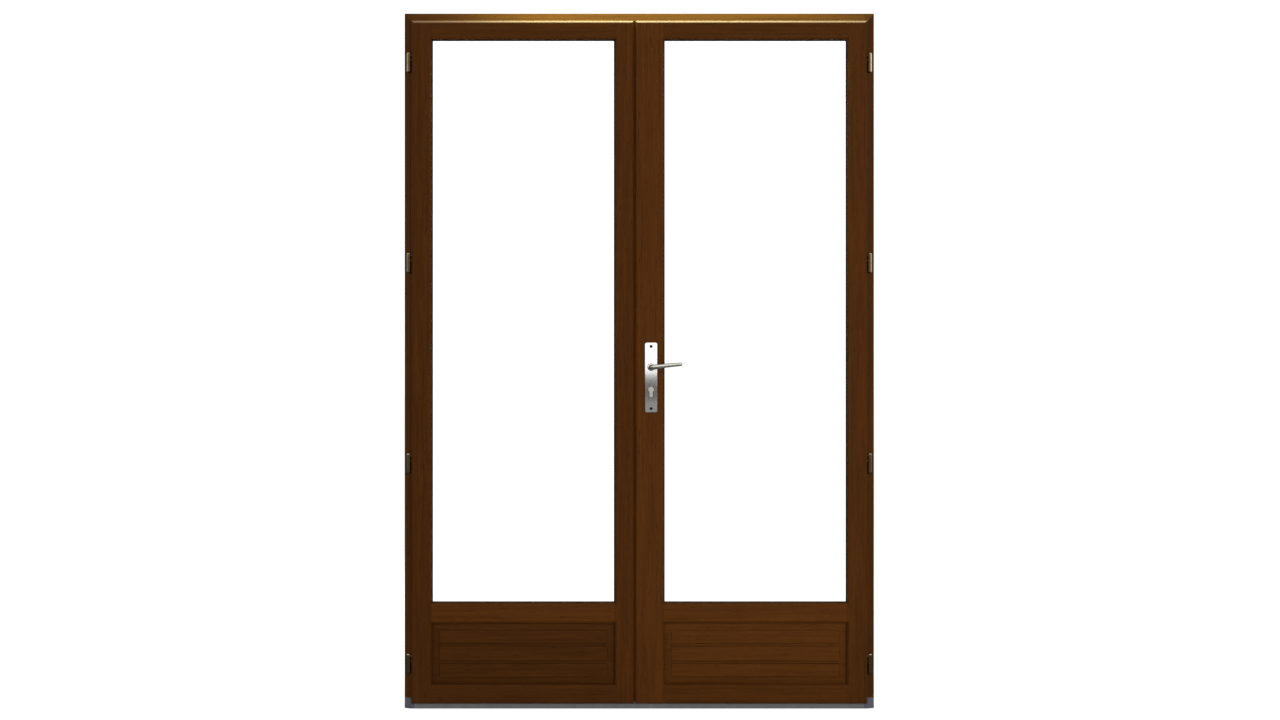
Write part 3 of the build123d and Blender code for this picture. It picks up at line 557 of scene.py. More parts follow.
    # Painted shade: the colour is darkened in grooves and corners, as far as they are occluded
    hollow_shade = add_node(
        tree, "ShaderNodeAmbientOcclusion", {"Distance": look.hollow_shade}, samples=6, only_local=True
    )
    shaded_in_hollows = add_node(
        tree,
        "ShaderNodeMapRange",
        {"Value": hollow_shade.outputs["AO"], "From Min": 0.35, "From Max": 0.95, "To Min": 0.3},
    )
    finished = add_node(
        tree,
        "ShaderNodeVectorMath",
        {0: with_top_highlight.outputs["Result"], "Scale": shaded_in_hollows.outputs[0]},
        operation="SCALE",
    )
    sheen = add_node(
        tree,
        "ShaderNodeMapRange",
        {"Value": grain, "From Min": 0.3, "From Max": 0.7, "To Min": 0.40, "To Max": 0.30},
    )
    relief = add_node(
        tree, "ShaderNodeMath", {0: pitted.outputs[0], 1: -0.6, 2: grain}, operation="MULTIPLY_ADD"
    )
    bump = add_node(
        tree,
        "ShaderNodeBump",
        {
            "Height": relief.outputs[0],
            "Distance": 0.25 * MM,
            "Strength": 0.5,
            "Normal": soft.outputs[0],
        },
    )
    shader = add_node(
        tree,
        "ShaderNodeBsdfPrincipled",
        {
            "Base Color": finished.outputs[0],
            "Roughness": sheen.outputs[0],
            "Normal": bump.outputs[0],
            "IOR": 1.5,
            "Specular IOR Level": 0.035,
        },
    )
    close_material(tree, shader)
    return material


def metal(
    name,
    code,
    roughness,
    stretch,
    pitch,
    depth,
    crown=0.0,
    metallic=1.0,
    cloudy=0.12,
    painted_shade_reach=0.0,
    painted_highlight="",
    sides=1.0,
):
    """Metal with fine lines or grit left by how its surface was made.

    stretch is how much longer the lines are along x, y and z, and pitch is their spacing. crown is
    the radius of a gently domed face, cloudy the loss of colour in duller spots, and
    painted_shade_reach the reach of painted shade out of the hollows round the piece.
    painted_highlight is the colour of a painted highlight on domed tops and outer sides, brighter
    higher up and on the right. sides is the share of colour left on upper and lower sides, which
    are darkened there as painted shade.
    """
    material, tree = new_material(name)
    place = add_node(tree, "ShaderNodeTexCoord")
    scale = [1 / (pitch * s) for s in stretch]
    spread = add_node(
        tree, "ShaderNodeMapping", {"Vector": place.outputs["Object"], "Scale": scale}
    )
    lines = add_node(
        tree,
        "ShaderNodeTexNoise",
        {"Vector": spread.outputs[0], "Scale": 1.0, "Detail": 3.0, "Roughness": 0.6},
    )
    cloud = add_node(
        tree,
        "ShaderNodeTexNoise",
        {"Vector": place.outputs["Object"], "Scale": 1 / (28 * MM), "Detail": 3.0},
    )
    tint = add_node(
        tree,
        "ShaderNodeValToRGB",
        {"Fac": cloud.outputs["Fac"]},
        stops=[(0.3, linear(code, 1 - cloudy)), (0.7, linear(code))],
    )
    colour = tint.outputs[0]
    # Painted highlight: domed tops and outer sides are painted bright, more so higher up and on the
    # right
    if painted_highlight:
        turn = add_node(tree, "ShaderNodeSeparateXYZ", {"Vector": place.outputs["Normal"]})
        apart = add_node(tree, "ShaderNodeSeparateXYZ", {"Vector": place.outputs["Object"]})
        side = add_node(tree, "ShaderNodeMath", {0: apart.outputs["X"]}, operation="SIGN")
        away = add_node(
            tree, "ShaderNodeMath", {0: turn.outputs["X"], 1: side.outputs[0]}, operation="MULTIPLY"
        )
        flank = add_node(
            tree,
            "ShaderNodeMapRange",
            {"Value": away.outputs[0], "From Min": 0.05, "From Max": 0.5},
        )
        high = add_node(
            tree,
            "ShaderNodeMapRange",
            {"Value": apart.outputs["Z"], "From Min": 0.2, "From Max": 2.0, "To Min": 0.1},
        )
        high = add_node(tree, "ShaderNodeMath", {0: high.outputs[0], 1: 2.0}, operation="POWER")
        share = add_node(
            tree, "ShaderNodeMath", {0: side.outputs[0], 1: 0.3, 2: 0.55}, operation="MULTIPLY_ADD"
        )
        share = add_node(
            tree, "ShaderNodeMath", {0: share.outputs[0], 1: high.outputs[0]}, operation="MULTIPLY"
        )
        flank = add_node(
            tree, "ShaderNodeMath", {0: flank.outputs[0], 1: share.outputs[0]}, operation="MULTIPLY"
        )
        dome = add_node(
            tree,
            "ShaderNodeMapRange",
            {"Value": turn.outputs["Z"], "From Min": 0.2, "From Max": 0.7, "To Max": 0.7},
        )
        highlight_mask = add_node(
            tree, "ShaderNodeMath", {0: flank.outputs[0], 1: dome.outputs[0]}, operation="MAXIMUM"
        )
        colour = add_node(
            tree,
            "ShaderNodeMix",
            {"Factor": highlight_mask.outputs[0], "A": colour, "B": linear(painted_highlight)},
            data_type="RGBA",
        ).outputs["Result"]
    # Painted shade: upper and lower sides are painted darker than the front
    if sides < 1:
        turn = add_node(tree, "ShaderNodeSeparateXYZ", {"Vector": place.outputs["Normal"]})
        front = add_node(tree, "ShaderNodeMath", {0: turn.outputs["Y"]}, operation="ABSOLUTE")
        side_shade = add_node(
            tree,
            "ShaderNodeMapRange",
            {"Value": front.outputs[0], "From Min": 0.45, "From Max": 0.92, "To Min": sides},
        )
        colour = add_node(
            tree, "ShaderNodeVectorMath", {0: colour, "Scale": side_shade.outputs[0]}, operation="SCALE"
        ).outputs[0]
    # Painted shade: darker near the hollows round the piece, from ambient occlusion
    if painted_shade_reach:
        hollow_shade = add_node(tree, "ShaderNodeAmbientOcclusion", {"Distance": painted_shade_reach}, samples=8)
        occluded_shade = add_node(
            tree,
            "ShaderNodeMapRange",
            {"Value": hollow_shade.outputs["AO"], "From Min": 0.5, "From Max": 0.9, "To Min": 0.1},
        )
        colour = add_node(
            tree, "ShaderNodeVectorMath", {0: colour, "Scale": occluded_shade.outputs[0]}, operation="SCALE"
        ).outputs[0]
    dull = add_node(
        tree,
        "ShaderNodeMapRange",
        {
            "Value": lines.outputs["Fac"],
            "From Min": 0.25,
            "From Max": 0.75,
            "To Min": roughness * 0.75,
            "To Max": roughness * 1.3,
        },
    )
    bump = add_node(
        tree, "ShaderNodeBump", {"Height": lines.outputs["Fac"], "Distance": depth, "Strength": 0.6}
    )
    if crown:
        low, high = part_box("inside_plate")
        # The face is highest a little above its middle
        summit = (low.z + high.z) / 2 + 12 * MM
        apart = add_node(tree, "ShaderNodeSeparateXYZ", {"Vector": place.outputs["Object"]})
        rise = add_node(
            tree, "ShaderNodeMath", {0: apart.outputs["Z"], 1: summit}, operation="SUBTRACT"
        )
        square = add_node(tree, "ShaderNodeMath", {0: rise.outputs[0], 1: 2.0}, operation="POWER")
        drop = add_node(
            tree, "ShaderNodeMath", {0: square.outputs[0], 1: -0.5 / crown}, operation="MULTIPLY"
        )
        dome = add_node(
            tree, "ShaderNodeBump", {"Height": drop.outputs[0], "Distance": 1.0, "Strength": 1.0}
        )
        tree.links.new(dome.outputs[0], bump.inputs["Normal"])
    shader = add_node(
        tree,
        "ShaderNodeBsdfPrincipled",
        {
            "Base Color": colour,
            "Metallic": metallic,
            "Roughness": dull.outputs[0],
            "Normal": bump.outputs[0],
        },
    )
    close_material(tree, shader)
    return material


def moulded(name, code, roughness, grit, depth, gloss=0.12):
    """Moulded plastic or extruded rubber: even colour, fine grit and a soft sheen."""
    material, tree = new_material(name)
    place = add_node(tree, "ShaderNodeTexCoord")
    fine = add_node(
        tree,
        "ShaderNodeTexNoise",
        {"Vector": place.outputs["Object"], "Scale": 1 / grit, "Detail": 4.0},
    )
    cloud = add_node(
        tree,
        "ShaderNodeTexNoise",
        {"Vector": place.outputs["Object"], "Scale": 1 / (40 * MM), "Detail": 3.0},
    )
    tint = add_node(
        tree,
        "ShaderNodeValToRGB",
        {"Fac": cloud.outputs["Fac"]},
        stops=[(0.3, linear(code, 0.85)), (0.7, linear(code, 1.1))],
    )
    dull = add_node(
        tree,
        "ShaderNodeMapRange",
        {"Value": fine.outputs["Fac"], "To Min": roughness * 0.8, "To Max": roughness * 1.2},
    )
    bump = add_node(
        tree, "ShaderNodeBump", {"Height": fine.outputs["Fac"], "Distance": depth, "Strength": 0.5}
    )
    shader = add_node(
        tree,
        "ShaderNodeBsdfPrincipled",
        {
            "Base Color": tint.outputs[0],
            "Roughness": dull.outputs[0],
            "Normal": bump.outputs[0],
            "IOR": 1.5,
            "Specular IOR Level": gloss,
        },
    )
    close_material(tree, shader)
    return material


def float_glass(name):
    """Clear float glass: no colour, a sharp reflection and a barely uneven face."""
    material, tree = new_material(name)
    place = add_node(tree, "ShaderNodeTexCoord")
    ripple = add_node(
        tree,
        "ShaderNodeTexNoise",
        {"Vector": place.outputs["Object"], "Scale": 1 / (350 * MM), "Detail": 1.0},
    )
    bump = add_node(
        tree,
        "ShaderNodeBump",
        {"Height": ripple.outputs["Fac"], "Distance": 0.02 * MM, "Strength": 0.2},
    )
    shader = add_node(
        tree,
        "ShaderNodeBsdfPrincipled",
        {
            "Base Color": (1, 1, 1, 1),
            "Roughness": 0.0,
            "IOR": 1.2,
            "Transmission Weight": 1.0,
            "Specular IOR Level": 0.12,
            "Normal": bump.outputs[0],
        },
    )
    close_material(tree, shader)
    return material


def piece(name, bm, material, body):
    """Makes a mesh piece that rides on a body and takes its finish from a slot."""
    bmesh.ops.recalc_face_normals(bm, faces=bm.faces)
    mesh = bpy.data.meshes.new(name)
    bm.to_mesh(mesh)
    bm.free()
    mesh.materials.append(material)
    made = bpy.data.objects.new(name, mesh)
    bpy.context.scene.collection.objects.link(made)
    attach(made, body)


def mitred_ring(bm, limits, section, mirror):
    """Closed strip round a rectangle; section lists (distance inwards, y)."""
    x_low, x_high, z_low, z_high = limits
    rings = []
    for inward, y in section:
        corners = (
            (x_low + inward, z_low + inward),
            (x_high - inward, z_low + inward),
            (x_high - inward, z_high - inward),
            (x_low + inward, z_high - inward),
        )
        rings.append([bm.verts.new((-x if mirror else x, y, z)) for x, z in corners])
    for here, there in zip(rings, rings[1:] + rings[:1]):
        for n in range(4):
            m = (n + 1) % 4
            bm.faces.new((here[n], here[m], there[m], there[n]))


def turned(bm, profile, place, direction, steps=24):
    """Turned shape; profile lists (radius, height) from the axis outwards."""
    turn = Vector((0, 0, 1)).rotation_difference(Vector(direction)).to_matrix().to_4x4()
    move = Matrix.Translation(place) @ turn
    rows = []
    for radius, height in profile:
        if radius == 0:
            rows.append([bm.verts.new(move @ Vector((0, 0, height)))] * steps)
        else:
            angles = [2 * math.pi * n / steps for n in range(steps)]
            ring = [(radius * math.cos(a), radius * math.sin(a), height) for a in angles]
            rows.append([bm.verts.new(move @ Vector(corner)) for corner in ring])
    for low, high in zip(rows, rows[1:]):
        for n in range(steps):
            m = (n + 1) % steps
            corners = list(dict.fromkeys((low[n], low[m], high[m], high[n])))
            if len(corners) > 2:
                bm.faces.new(corners)


def screw_head(bm, place, direction, radius, steps=24):
    """Countersunk screw head with a cross slot, set flush."""
    turn = Vector((0, 0, 1)).rotation_difference(Vector(direction)).to_matrix().to_4x4()
    move = Matrix.Translation(place) @ turn
    top, sunk = 0.2 * MM, -1.2 * MM
    arm, half = radius * 0.58, radius * 0.15
    angles = [2 * math.pi * n / steps for n in range(steps)]
    rim = [move @ Vector((radius * math.cos(a), radius * math.sin(a), top)) for a in angles]
    corners = [(arm, -half), (arm, half), (half, half), (half, arm), (-half, arm), (-half, half)]
    corners += [(-x, -y) for x, y in corners]
    rim_verts = [bm.verts.new(p) for p in rim]
    cross = [bm.verts.new(move @ Vector((x, y, top))) for x, y in corners]
    floor = [bm.verts.new(move @ Vector((x * 0.8, y * 0.8, sunk))) for x, y in corners]
    skirt = [bm.verts.new(p - (move.to_3x3() @ Vector((0, 0, 0.6 * MM)))) for p in rim]
    loops = []
    for ring in (rim_verts, cross):
        loops += [bm.edges.new((ring[n], ring[(n + 1) % len(ring)])) for n in range(len(ring))]
    bmesh.ops.triangle_fill(
        bm, use_beauty=True, edges=loops, normal=move.to_3x3() @ Vector((0, 0, 1))
    )
    for n in range(len(cross)):
        m = (n + 1) % len(cross)
        bm.faces.new((cross[n], cross[m], floor[m], floor[n]))
    bm.faces.new(floor)
    for n in range(steps):
        m = (n + 1) % steps
        bm.faces.new((rim_verts[n], rim_verts[m], skirt[m], skirt[n]))


def strip(bm, low, high, shrink, axis):
    """Bar between two corners, its outer face narrower by shrink.

    axis is 1, 2 or 3 for an outer face towards x, y or z, and negative for the opposite one.
    """
    made = bmesh.ops.create_cube(bm, size=1.0)["verts"]
    middle = (Vector(low) + Vector(high)) / 2
    size = Vector(high) - Vector(low)
    for v in made:
        outer = v.co[abs(axis) - 1] * axis > 0
        for n in range(3):
            reach = size[n] / 2 - (shrink if outer and n != abs(axis) - 1 else 0)
            v.co[n] = middle[n] + math.copysign(max(reach, 0.0), v.co[n])


class FRENCH_DOORS_OT_wood(bpy.types.Operator):
    """Stain and varnish the frame, leaves and panels"""

    bl_idname = "french_doors.wood"
    bl_label = "Finish the wood"

    def execute(self, context):
        for name, (axis, tone, boards) in BOARDS.items():
            dress(boards, stained_hardwood(name, axis, tone))
        return {"FINISHED"}


class FRENCH_DOORS_OT_glazing(bpy.types.Operator):
    """Finish the glass, its spacers and the seals, and add the gaskets"""

    bl_idname = "french_doors.glazing"
    bl_label = "Finish the glazing"

    def execute(self, context):
        colours = context.scene.french_doors_metal
        width = context.scene.french_doors_fittings.gasket
        dress(GLASS, float_glass("clear_float_glass"))
        # Rolled aluminium: fine lines along the bar and a soft grey gloss
        dress(
            SPACERS,
            metal(
                "rolled_aluminium_spacer",
                "#B9BBBD",
                roughness=0.38,
                stretch=(1, 1, 1),
                pitch=1.5 * MM,
                depth=0.01 * MM,
            ),
        )
        # Extruded rubber: nearly black, with a dull skin
        rubber = moulded(
            "extruded_epdm_rubber",
            colours.rubber,
            roughness=0.8,
            grit=0.9 * MM,
            depth=0.05 * MM,
            gloss=0.0,
        )
        dress(SEALS, rubber)
        for side in LEAVES:
            for name, limits, y, out in (
                ("room", SIGHT, GLASS_ROOM, -1),
                ("outside", BEAD_SIGHT, GLASS_OUTSIDE, 1),
            ):
                bm = bmesh.new()
                section = [
                    (0, y),
                    (width, y),
                    (width * 0.85, y + out * width * 0.45),
                    (0, y + out * width),
                ]
                mitred_ring(bm, limits, section, side == "left")
                piece(f"{side}_gasket_{name}", bm, rubber, f"{side}_leaf")
        # Thin fin that closes the last of the gap between the bulb seal and the left leaf
        low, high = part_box("meeting_seal")
        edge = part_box("left_meeting_stile")[1].x
        y = (low.y + high.y) / 2
        bm = bmesh.new()
        strip(
            bm,
            (edge + 0.02 * MM, y - 0.8 * MM, low.z),
            (low.x + 0.9 * MM, y + 0.8 * MM, high.z),
            0.0,
            1,
        )
        piece("meeting_seal_fin", bm, rubber, "right_leaf")
        # Extruded brown rubber: dull, the colour of the wood, a lip a little behind the room face
        brown = moulded(
            "extruded_brown_rubber_lip",
            colours.lip,
            roughness=0.8,
            grit=0.9 * MM,
            depth=0.05 * MM,
            gloss=0.0,
        )
        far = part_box("right_meeting_stile")[0].x
        bm = bmesh.new()
        strip(
            bm,
            (edge + 0.2 * MM, ROOM_FACE + 5.5 * MM, low.z),
            (far, ROOM_FACE + 7.5 * MM, high.z),
            0.0,
            1,
        )
        piece("meeting_lip", bm, brown, "right_leaf")
        return {"FINISHED"}


class FRENCH_DOORS_OT_hardware(bpy.types.Operator):
    """Finish the hinges, handles, lock, bolts and threshold"""

    bl_idname = "french_doors.hardware"
    bl_label = "Finish the hardware"

    def execute(self, context):
        colours = context.scene.french_doors_metal
        # Satin anodised aluminium: a clear pale gloss with fine brushing along the piece, with
        # painted shade on the levers' upper and lower sides and round the levers' necks on the
        # plates
        dress(
            LEVERS,
            metal(
                "anodised_aluminium_lever",
                colours.lever,
                roughness=0.24,
                stretch=(12, 1, 1),
                pitch=0.8 * MM,
                depth=0.001 * MM,
                sides=0.16,
            ),
        )
        dress(
            PLATES,
            metal(
                "anodised_aluminium_plate",
                colours.handle,
                roughness=0.15,
                stretch=(1, 1, 14),
                pitch=0.8 * MM,
                depth=0.002 * MM,
                crown=0.9,
                cloudy=0.04,
                painted_shade_reach=2 * MM,
            ),
        )
        # Yellow passivated steel: warm, a little cloudy, with painted shade where it lies against
        # the leaf and a painted highlight on its outer sides and domed tops
        dress(
            HINGES,
            metal(
                "yellow_passivated_hinge",
                colours.hinge,
                roughness=0.3,
                stretch=(1, 1, 1),
                pitch=1.2 * MM,
                depth=0.01 * MM,
                painted_shade_reach=12 * MM,
                painted_highlight=colours.hinge_highlight,
            ),
        )
        # Greased steel washer: dark and dull
        dress(
            WASHERS,
            metal(
                "greased_steel_washer",
                "#4A4238",
                roughness=0.5,
                stretch=(1, 1, 1),
                pitch=0.8 * MM,
                depth=0.01 * MM,
            ),
        )
        # Nickel plated brass: warm grey with a soft gloss
        dress(
            CYLINDER,
            metal(
                "nickel_plated_cylinder",
                colours.cylinder,
                roughness=0.28,
                stretch=(1, 4, 1),
                pitch=0.7 * MM,
                depth=0.006 * MM,
            ),
        )
        # Zinc plated steel: cold grey, cloudy, with rolling lines
        dress(
            ZINC,
            metal(
                "zinc_plated_steel",
                colours.zinc,
                roughness=0.34,
                stretch=(1, 1, 10),
                pitch=1.0 * MM,
                depth=0.01 * MM,
            ),
        )
        # Blackened steel: dark heads in the handle plates; the darkness is partly painted shade of
        # the screw holes
        dress(
            ["plate_screws"],
            metal(
                "blackened_steel_screw",
                "#2B2A2B",
                roughness=0.45,
                stretch=(1, 1, 1),
                pitch=0.8 * MM,
                depth=0.01 * MM,
            ),
        )
        # Anodised extrusion: grey with fine draw lines along its length
        dress(
            ["threshold"],
            metal(
                "anodised_extruded_threshold",
                colours.threshold,
                roughness=0.42,
                stretch=(60, 1, 1),
                pitch=1.2 * MM,
                depth=0.03 * MM,
                metallic=0.75,
            ),
        )
        # Moulded nylon: grey and matt
        dress(
            BLOCKS,
            moulded(
                "moulded_nylon_block", colours.block, roughness=0.55, grit=1.0 * MM, depth=0.05 * MM
            ),
        )
        return {"FINISHED"}


class FRENCH_DOORS_OT_screws(bpy.types.Operator):
    """Add the screws of the lock, bolts, keep and strikes, and the bead pins"""

    bl_idname = "french_doors.screws"
    bl_label = "Add screws and pins"

    def execute(self, context):
        sizes = context.scene.french_doors_fittings
        zinc = bpy.data.materials["zinc_plated_steel"]
        brass = bpy.data.materials["yellow_passivated_hinge"]
        radius = sizes.screw_radius
        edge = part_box("lock_faceplate")[0].x
        bm = bmesh.new()
        for z in FACEPLATE_SCREWS:
            screw_head(bm, (edge, LOCK_LINE, z), (-1, 0, 0), radius)
        piece("faceplate_screws", bm, zinc, "right_leaf")
        bm = bmesh.new()
        for name, rows in MEETING_EDGE_SCREWS.items():
            low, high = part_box(name)
            for row in rows:
                screw_head(bm, (high.x, LOCK_LINE, low.z + row), (1, 0, 0), radius)
        piece("meeting_edge_screws", bm, zinc, "left_leaf")
        bm = bmesh.new()
        from_end = 5.5 * MM
        for name, up in (("head_strike", -1), ("threshold_strike", 1)):
            low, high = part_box(name)
            face = high.z if up > 0 else low.z
            for x in (low.x + from_end, high.x - from_end):
                screw_head(bm, (x, (low.y + high.y) / 2, face), (0, 0, up), radius)
        piece("strike_screws", bm, zinc, "frame")
        x_low, x_high, z_low, z_high = BEAD_SIGHT
        reach = 9.0 * MM
        dome = [
            (0, -0.6 * MM),
            (1.1 * MM, -0.6 * MM),
            (1.1 * MM, 0.05 * MM),
            (0.7 * MM, 0.2 * MM),
            (0, 0.26 * MM),
        ]
        for side in LEAVES:
            sign = -1 if side == "left" else 1
            bm = bmesh.new()
            places = []
            count = round((z_high - z_low) / sizes.pin_pitch)
            for n in range(count):
                z = z_low + (n + 0.5) * (z_high - z_low) / count
                places += [(x_low - reach, z), (x_high + reach, z)]
            count = round((x_high - x_low) / sizes.pin_pitch)
            for n in range(count):
                x = x_low + (n + 0.5) * (x_high - x_low) / count
                places += [(x, z_low - reach), (x, z_high + reach)]
            for x, z in places:
                turned(bm, dome, (sign * x, BEAD_FACE, z), (0, 1, 0), 12)
            piece(f"{side}_bead_pins", bm, brass, f"{side}_leaf")
        return {"FINISHED"}


class FRENCH_DOORS_OT_joint_lines(bpy.types.Operator):
    """Add the fine dark lines where the rails meet the stiles"""

    bl_idname = "french_doors.joint_lines"
    bl_label = "Add joint lines"

    def execute(self, context):
        half = context.scene.french_doors_fittings.joint_line / 2
        # Stain gathers in the shoulder: a matt dark line
        line = moulded(
            "stained_hardwood_shoulder", "#221208", roughness=0.7, grit=2.0 * MM, depth=0.02 * MM
        )
        for side in LEAVES:
            bm = bmesh.new()
            for x in SIGHT[:2]:
                x = -x if side == "left" else x
                for low, high in RAIL_SPANS:
                    strip(
                        bm,
                        (x - half, ROOM_FACE - 0.05 * MM, low),
                        (x + half, ROOM_FACE + 0.5 * MM, high),
                        0.1 * MM,
                        -2,
                    )
            piece(f"{side}_joint_lines", bm, line, f"{side}_leaf")
        return {"FINISHED"}


class FRENCH_DOORS_OT_threshold(bpy.types.Operator):
    """Add the ribs and drain covers of the threshold and the levers' set screws"""

    bl_idname = "french_doors.threshold"
    bl_label = "Add small fittings"

    def execute(self, context):
        low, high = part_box("threshold")
        metal_finish = bpy.data.materials["anodised_extruded_threshold"]
        bm = bmesh.new()
        # Ribs on the slope, which falls from the flat top to the nose
        top_y, nose_z = 0.008, 0.010
        fall = (high.z - nose_z) / (high.y - top_y)
        for y in (0.027, 0.0315, 0.036):
            z = high.z - fall * (y - top_y)
            strip(
                bm,
                (low.x + 2 * MM, y - 0.7 * MM, z - 0.6 * MM),
                (high.x - 2 * MM, y + 0.7 * MM, z + 0.7 * MM),
                0.3 * MM,
                3,
            )
        piece("threshold_ribs", bm, metal_finish, "frame")
        bm = bmesh.new()
        for x in (-0.5, 0.0, 0.5):
            strip(
                bm,
                (x - 17 * MM, high.y - 0.4 * MM, 2 * MM),
                (x + 17 * MM, high.y + 1.4 * MM, 8 * MM),
                0.6 * MM,
                2,
            )
            for step in (-10, -5, 0, 5, 10):
                strip(
                    bm,
                    (x + (step - 1.2) * MM, high.y + 1.2 * MM, 3.4 * MM),
                    (x + (step + 1.2) * MM, high.y + 2.0 * MM, 6.6 * MM),
                    0.3 * MM,
                    2,
                )
        piece("drain_covers", bm, bpy.data.materials["moulded_nylon_block"], "frame")
        bm = bmesh.new()
        # Under the lever's neck, with a sunk middle
        neck_radius, from_front = 7.9 * MM, 45 * MM
        socket = [
            (0, -0.9 * MM),
            (1.0 * MM, -0.9 * MM),
            (1.2 * MM, 0.0),
            (2.0 * MM, 0.15 * MM),
            (2.1 * MM, -0.6 * MM),
        ]
        axis_x, axis_z = LEVER_AXIS
        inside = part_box("inside_lever")[0].y + from_front
        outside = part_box("outside_lever")[1].y - from_front
        for y in (inside, outside):
            turned(bm, socket, (axis_x, y, axis_z - neck_radius), (0, 0, -1), 16)
        black = bpy.data.materials["blackened_steel_screw"]
        piece("lever_set_screws", bm, black, "lever")
        return {"FINISHED"}


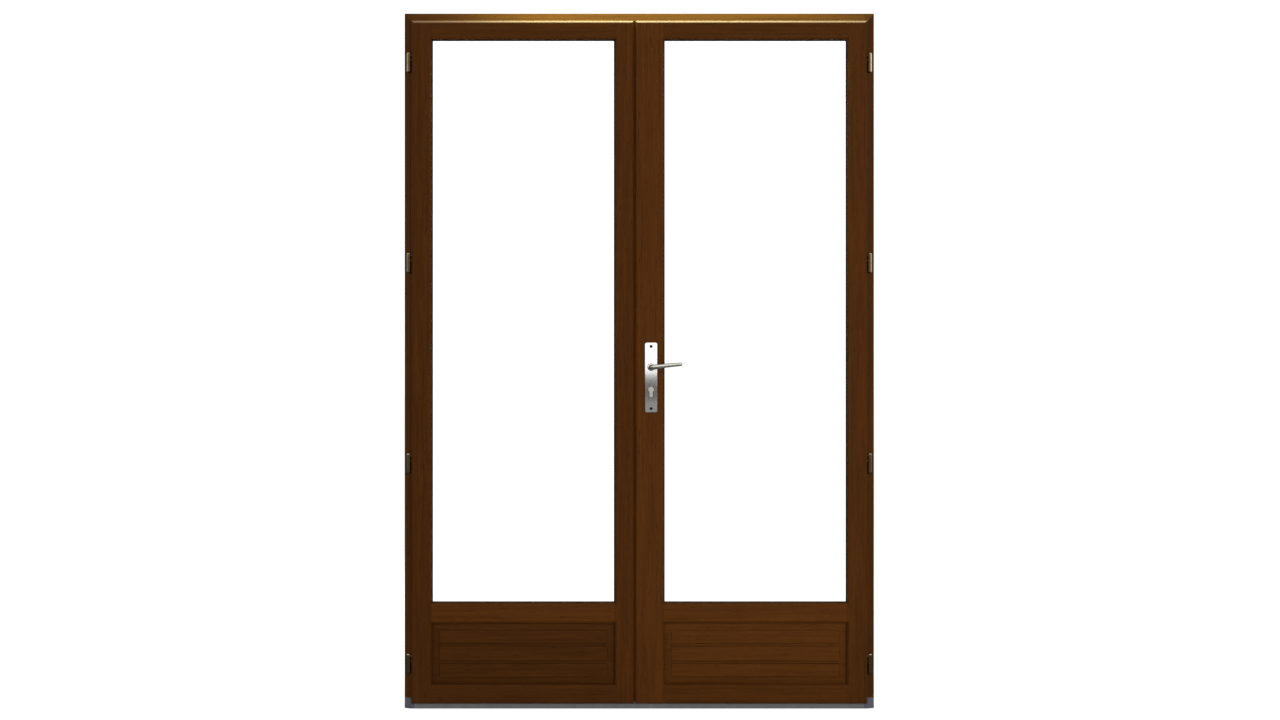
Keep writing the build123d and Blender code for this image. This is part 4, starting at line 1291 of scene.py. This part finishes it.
class FRENCH_DOORS_OT_stage(bpy.types.Operator):
    """Lay the floor, set the lights and place the camera"""

    bl_idname = "french_doors.stage"
    bl_label = "Set the stage"

    def execute(self, context):
        scene = context.scene
        look = scene.french_doors_stage
        scene.view_settings.view_transform = "Standard"
        middle = (cad_box[0] + cad_box[1]) / 2

        # World: white to the eye, in glass and in metal, and soft grey as light
        world = bpy.data.worlds.new("studio")
        scene.world = world
        world.use_nodes = True
        tree = world.node_tree
        tree.nodes.clear()
        path = add_node(tree, "ShaderNodeLightPath")
        seen = add_node(
            tree,
            "ShaderNodeMath",
            {0: path.outputs["Is Camera Ray"], 1: path.outputs["Is Glossy Ray"]},
            operation="MAXIMUM",
        )
        seen = add_node(
            tree,
            "ShaderNodeMath",
            {0: seen.outputs[0], 1: path.outputs["Is Transmission Ray"]},
            operation="MAXIMUM",
        )
        soft = add_node(
            tree, "ShaderNodeBackground", {"Color": (1, 1, 1, 1), "Strength": look.ambient}
        )
        white = add_node(
            tree, "ShaderNodeBackground", {"Color": (1, 1, 1, 1), "Strength": look.white}
        )
        mixed = add_node(
            tree,
            "ShaderNodeMixShader",
            {0: seen.outputs[0], 1: soft.outputs[0], 2: white.outputs[0]},
        )
        add_node(tree, "ShaderNodeOutputWorld", {"Surface": mixed.outputs[0]})

        # Floor: matt and pale; to the eye nearly white, with the doors' shadow left in it
        bm = bmesh.new()
        floor_half, floor_drop = 60.0, 0.5 * MM
        bmesh.ops.create_grid(bm, x_segments=8, y_segments=8, size=floor_half)
        mesh = bpy.data.meshes.new("floor")
        bm.to_mesh(mesh)
        bm.free()
        floor = bpy.data.objects.new("floor", mesh)
        floor.location.z = -floor_drop
        scene.collection.objects.link(floor)
        material, tree = new_material("matt_painted_floor")
        path = add_node(tree, "ShaderNodeLightPath")
        through = add_node(
            tree,
            "ShaderNodeMath",
            {0: path.outputs["Is Transmission Ray"], 1: look.glass_share},
            operation="MULTIPLY",
        )
        share = add_node(
            tree,
            "ShaderNodeMath",
            {0: path.outputs["Is Camera Ray"], 1: look.floor_share, 2: through.outputs[0]},
            operation="MULTIPLY_ADD",
        )
        matt = add_node(tree, "ShaderNodeBsdfDiffuse", {"Color": linear(look.floor)})
        # Painted reflection: reflections show the floor darker than its own colour
        dark = add_node(tree, "ShaderNodeBsdfDiffuse", {"Color": linear(look.floor_painted_in_reflections)})
        plain = add_node(
            tree,
            "ShaderNodeMixShader",
            {0: path.outputs["Is Glossy Ray"], 1: matt.outputs[0], 2: dark.outputs[0]},
        )
        glow = add_node(
            tree, "ShaderNodeEmission", {"Color": (1, 1, 1, 1), "Strength": look.floor_glow}
        )
        both = add_node(
            tree,
            "ShaderNodeMixShader",
            {0: share.outputs[0], 1: plain.outputs[0], 2: glow.outputs[0]},
        )
        close_material(tree, both)
        material.cycles.emission_sampling = "NONE"
        mesh.materials.append(material)

        # Name, place, aim, width, height, power and colour. The strip over the head hangs along x,
        # a little lower on the left, so its long side is its height
        lights = (
            ("key", (1.5, -4.2, 1.3), (0.1, 0.0, 1.05), 3.0, 2.4, look.key_power, "#FFFFFF"),
            ("back", (-2.0, 4.2, 2.8), (0.0, 0.0, 1.0), 2.6, 2.0, look.back_power, "#FFFFFF"),
            (
                "top",
                (0.125, -0.042, 2.465),
                (0.19, -0.042, 1.965),
                0.05,
                1.16,
                look.top_power,
                look.top_tint,
            ),
        )
        for name, place, aim, width, height, power, tint in lights:
            lamp = bpy.data.lights.new(name, "AREA")
            lamp.shape = "RECTANGLE"
            lamp.size = width
            lamp.size_y = height
            lamp.energy = power
            lamp.color = linear(tint)[:3]
            made = bpy.data.objects.new(name, lamp)
            made.location = place
            made.rotation_euler = (Vector(aim) - Vector(place)).to_track_quat("-Z", "Y").to_euler()
            made.visible_glossy = False
            made.visible_transmission = False
            scene.collection.objects.link(made)

        # The photograph's middle is a little right of and above the doors'
        aside, above = 2.2 * MM, 2.4 * MM
        lens = bpy.data.cameras.new("camera")
        lens.lens = look.lens
        lens.sensor_width = 36.0
        camera = bpy.data.objects.new("camera", lens)
        camera.location = (aside, -look.distance, middle.z + above)
        camera.rotation_euler = (math.radians(90), 0, 0)
        scene.collection.objects.link(camera)
        scene.camera = camera
        return {"FINISHED"}


class FRENCH_DOORS_PT_panel(bpy.types.Panel):
    """Lists the steps that dress the doors"""

    bl_idname = "FRENCH_DOORS_PT_panel"
    bl_label = "French doors"
    bl_space_type = "VIEW_3D"
    bl_region_type = "UI"
    bl_category = "French doors"

    def draw(self, context):
        for group in SETTINGS:
            settings = getattr(context.scene, group)
            for name in settings.__annotations__:
                self.layout.prop(settings, name)
        for step in STEPS:
            self.layout.operator(step.bl_idname)


SETTINGS = {
    "french_doors_wood": FrenchDoorsWood,
    "french_doors_metal": FrenchDoorsMetal,
    "french_doors_fittings": FrenchDoorsFittings,
    "french_doors_stage": FrenchDoorsStage,
}
STEPS = (
    FRENCH_DOORS_OT_wood,
    FRENCH_DOORS_OT_glazing,
    FRENCH_DOORS_OT_hardware,
    FRENCH_DOORS_OT_screws,
    FRENCH_DOORS_OT_joint_lines,
    FRENCH_DOORS_OT_threshold,
    FRENCH_DOORS_OT_stage,
)


def register():
    for name, group in SETTINGS.items():
        bpy.utils.register_class(group)
        setattr(bpy.types.Scene, name, bpy.props.PointerProperty(type=group))
    for step in STEPS:
        bpy.utils.register_class(step)
    bpy.utils.register_class(FRENCH_DOORS_PT_panel)


def unregister():
    bpy.utils.unregister_class(FRENCH_DOORS_PT_panel)
    for step in reversed(STEPS):
        bpy.utils.unregister_class(step)
    for name, group in SETTINGS.items():
        delattr(bpy.types.Scene, name)
        bpy.utils.unregister_class(group)


def main():
    register()
    bpy.ops.french_doors.wood()
    bpy.ops.french_doors.glazing()
    bpy.ops.french_doors.hardware()
    bpy.ops.french_doors.screws()
    bpy.ops.french_doors.joint_lines()
    bpy.ops.french_doors.threshold()
    bpy.ops.french_doors.stage()


if __name__ == "__main__":
    main()
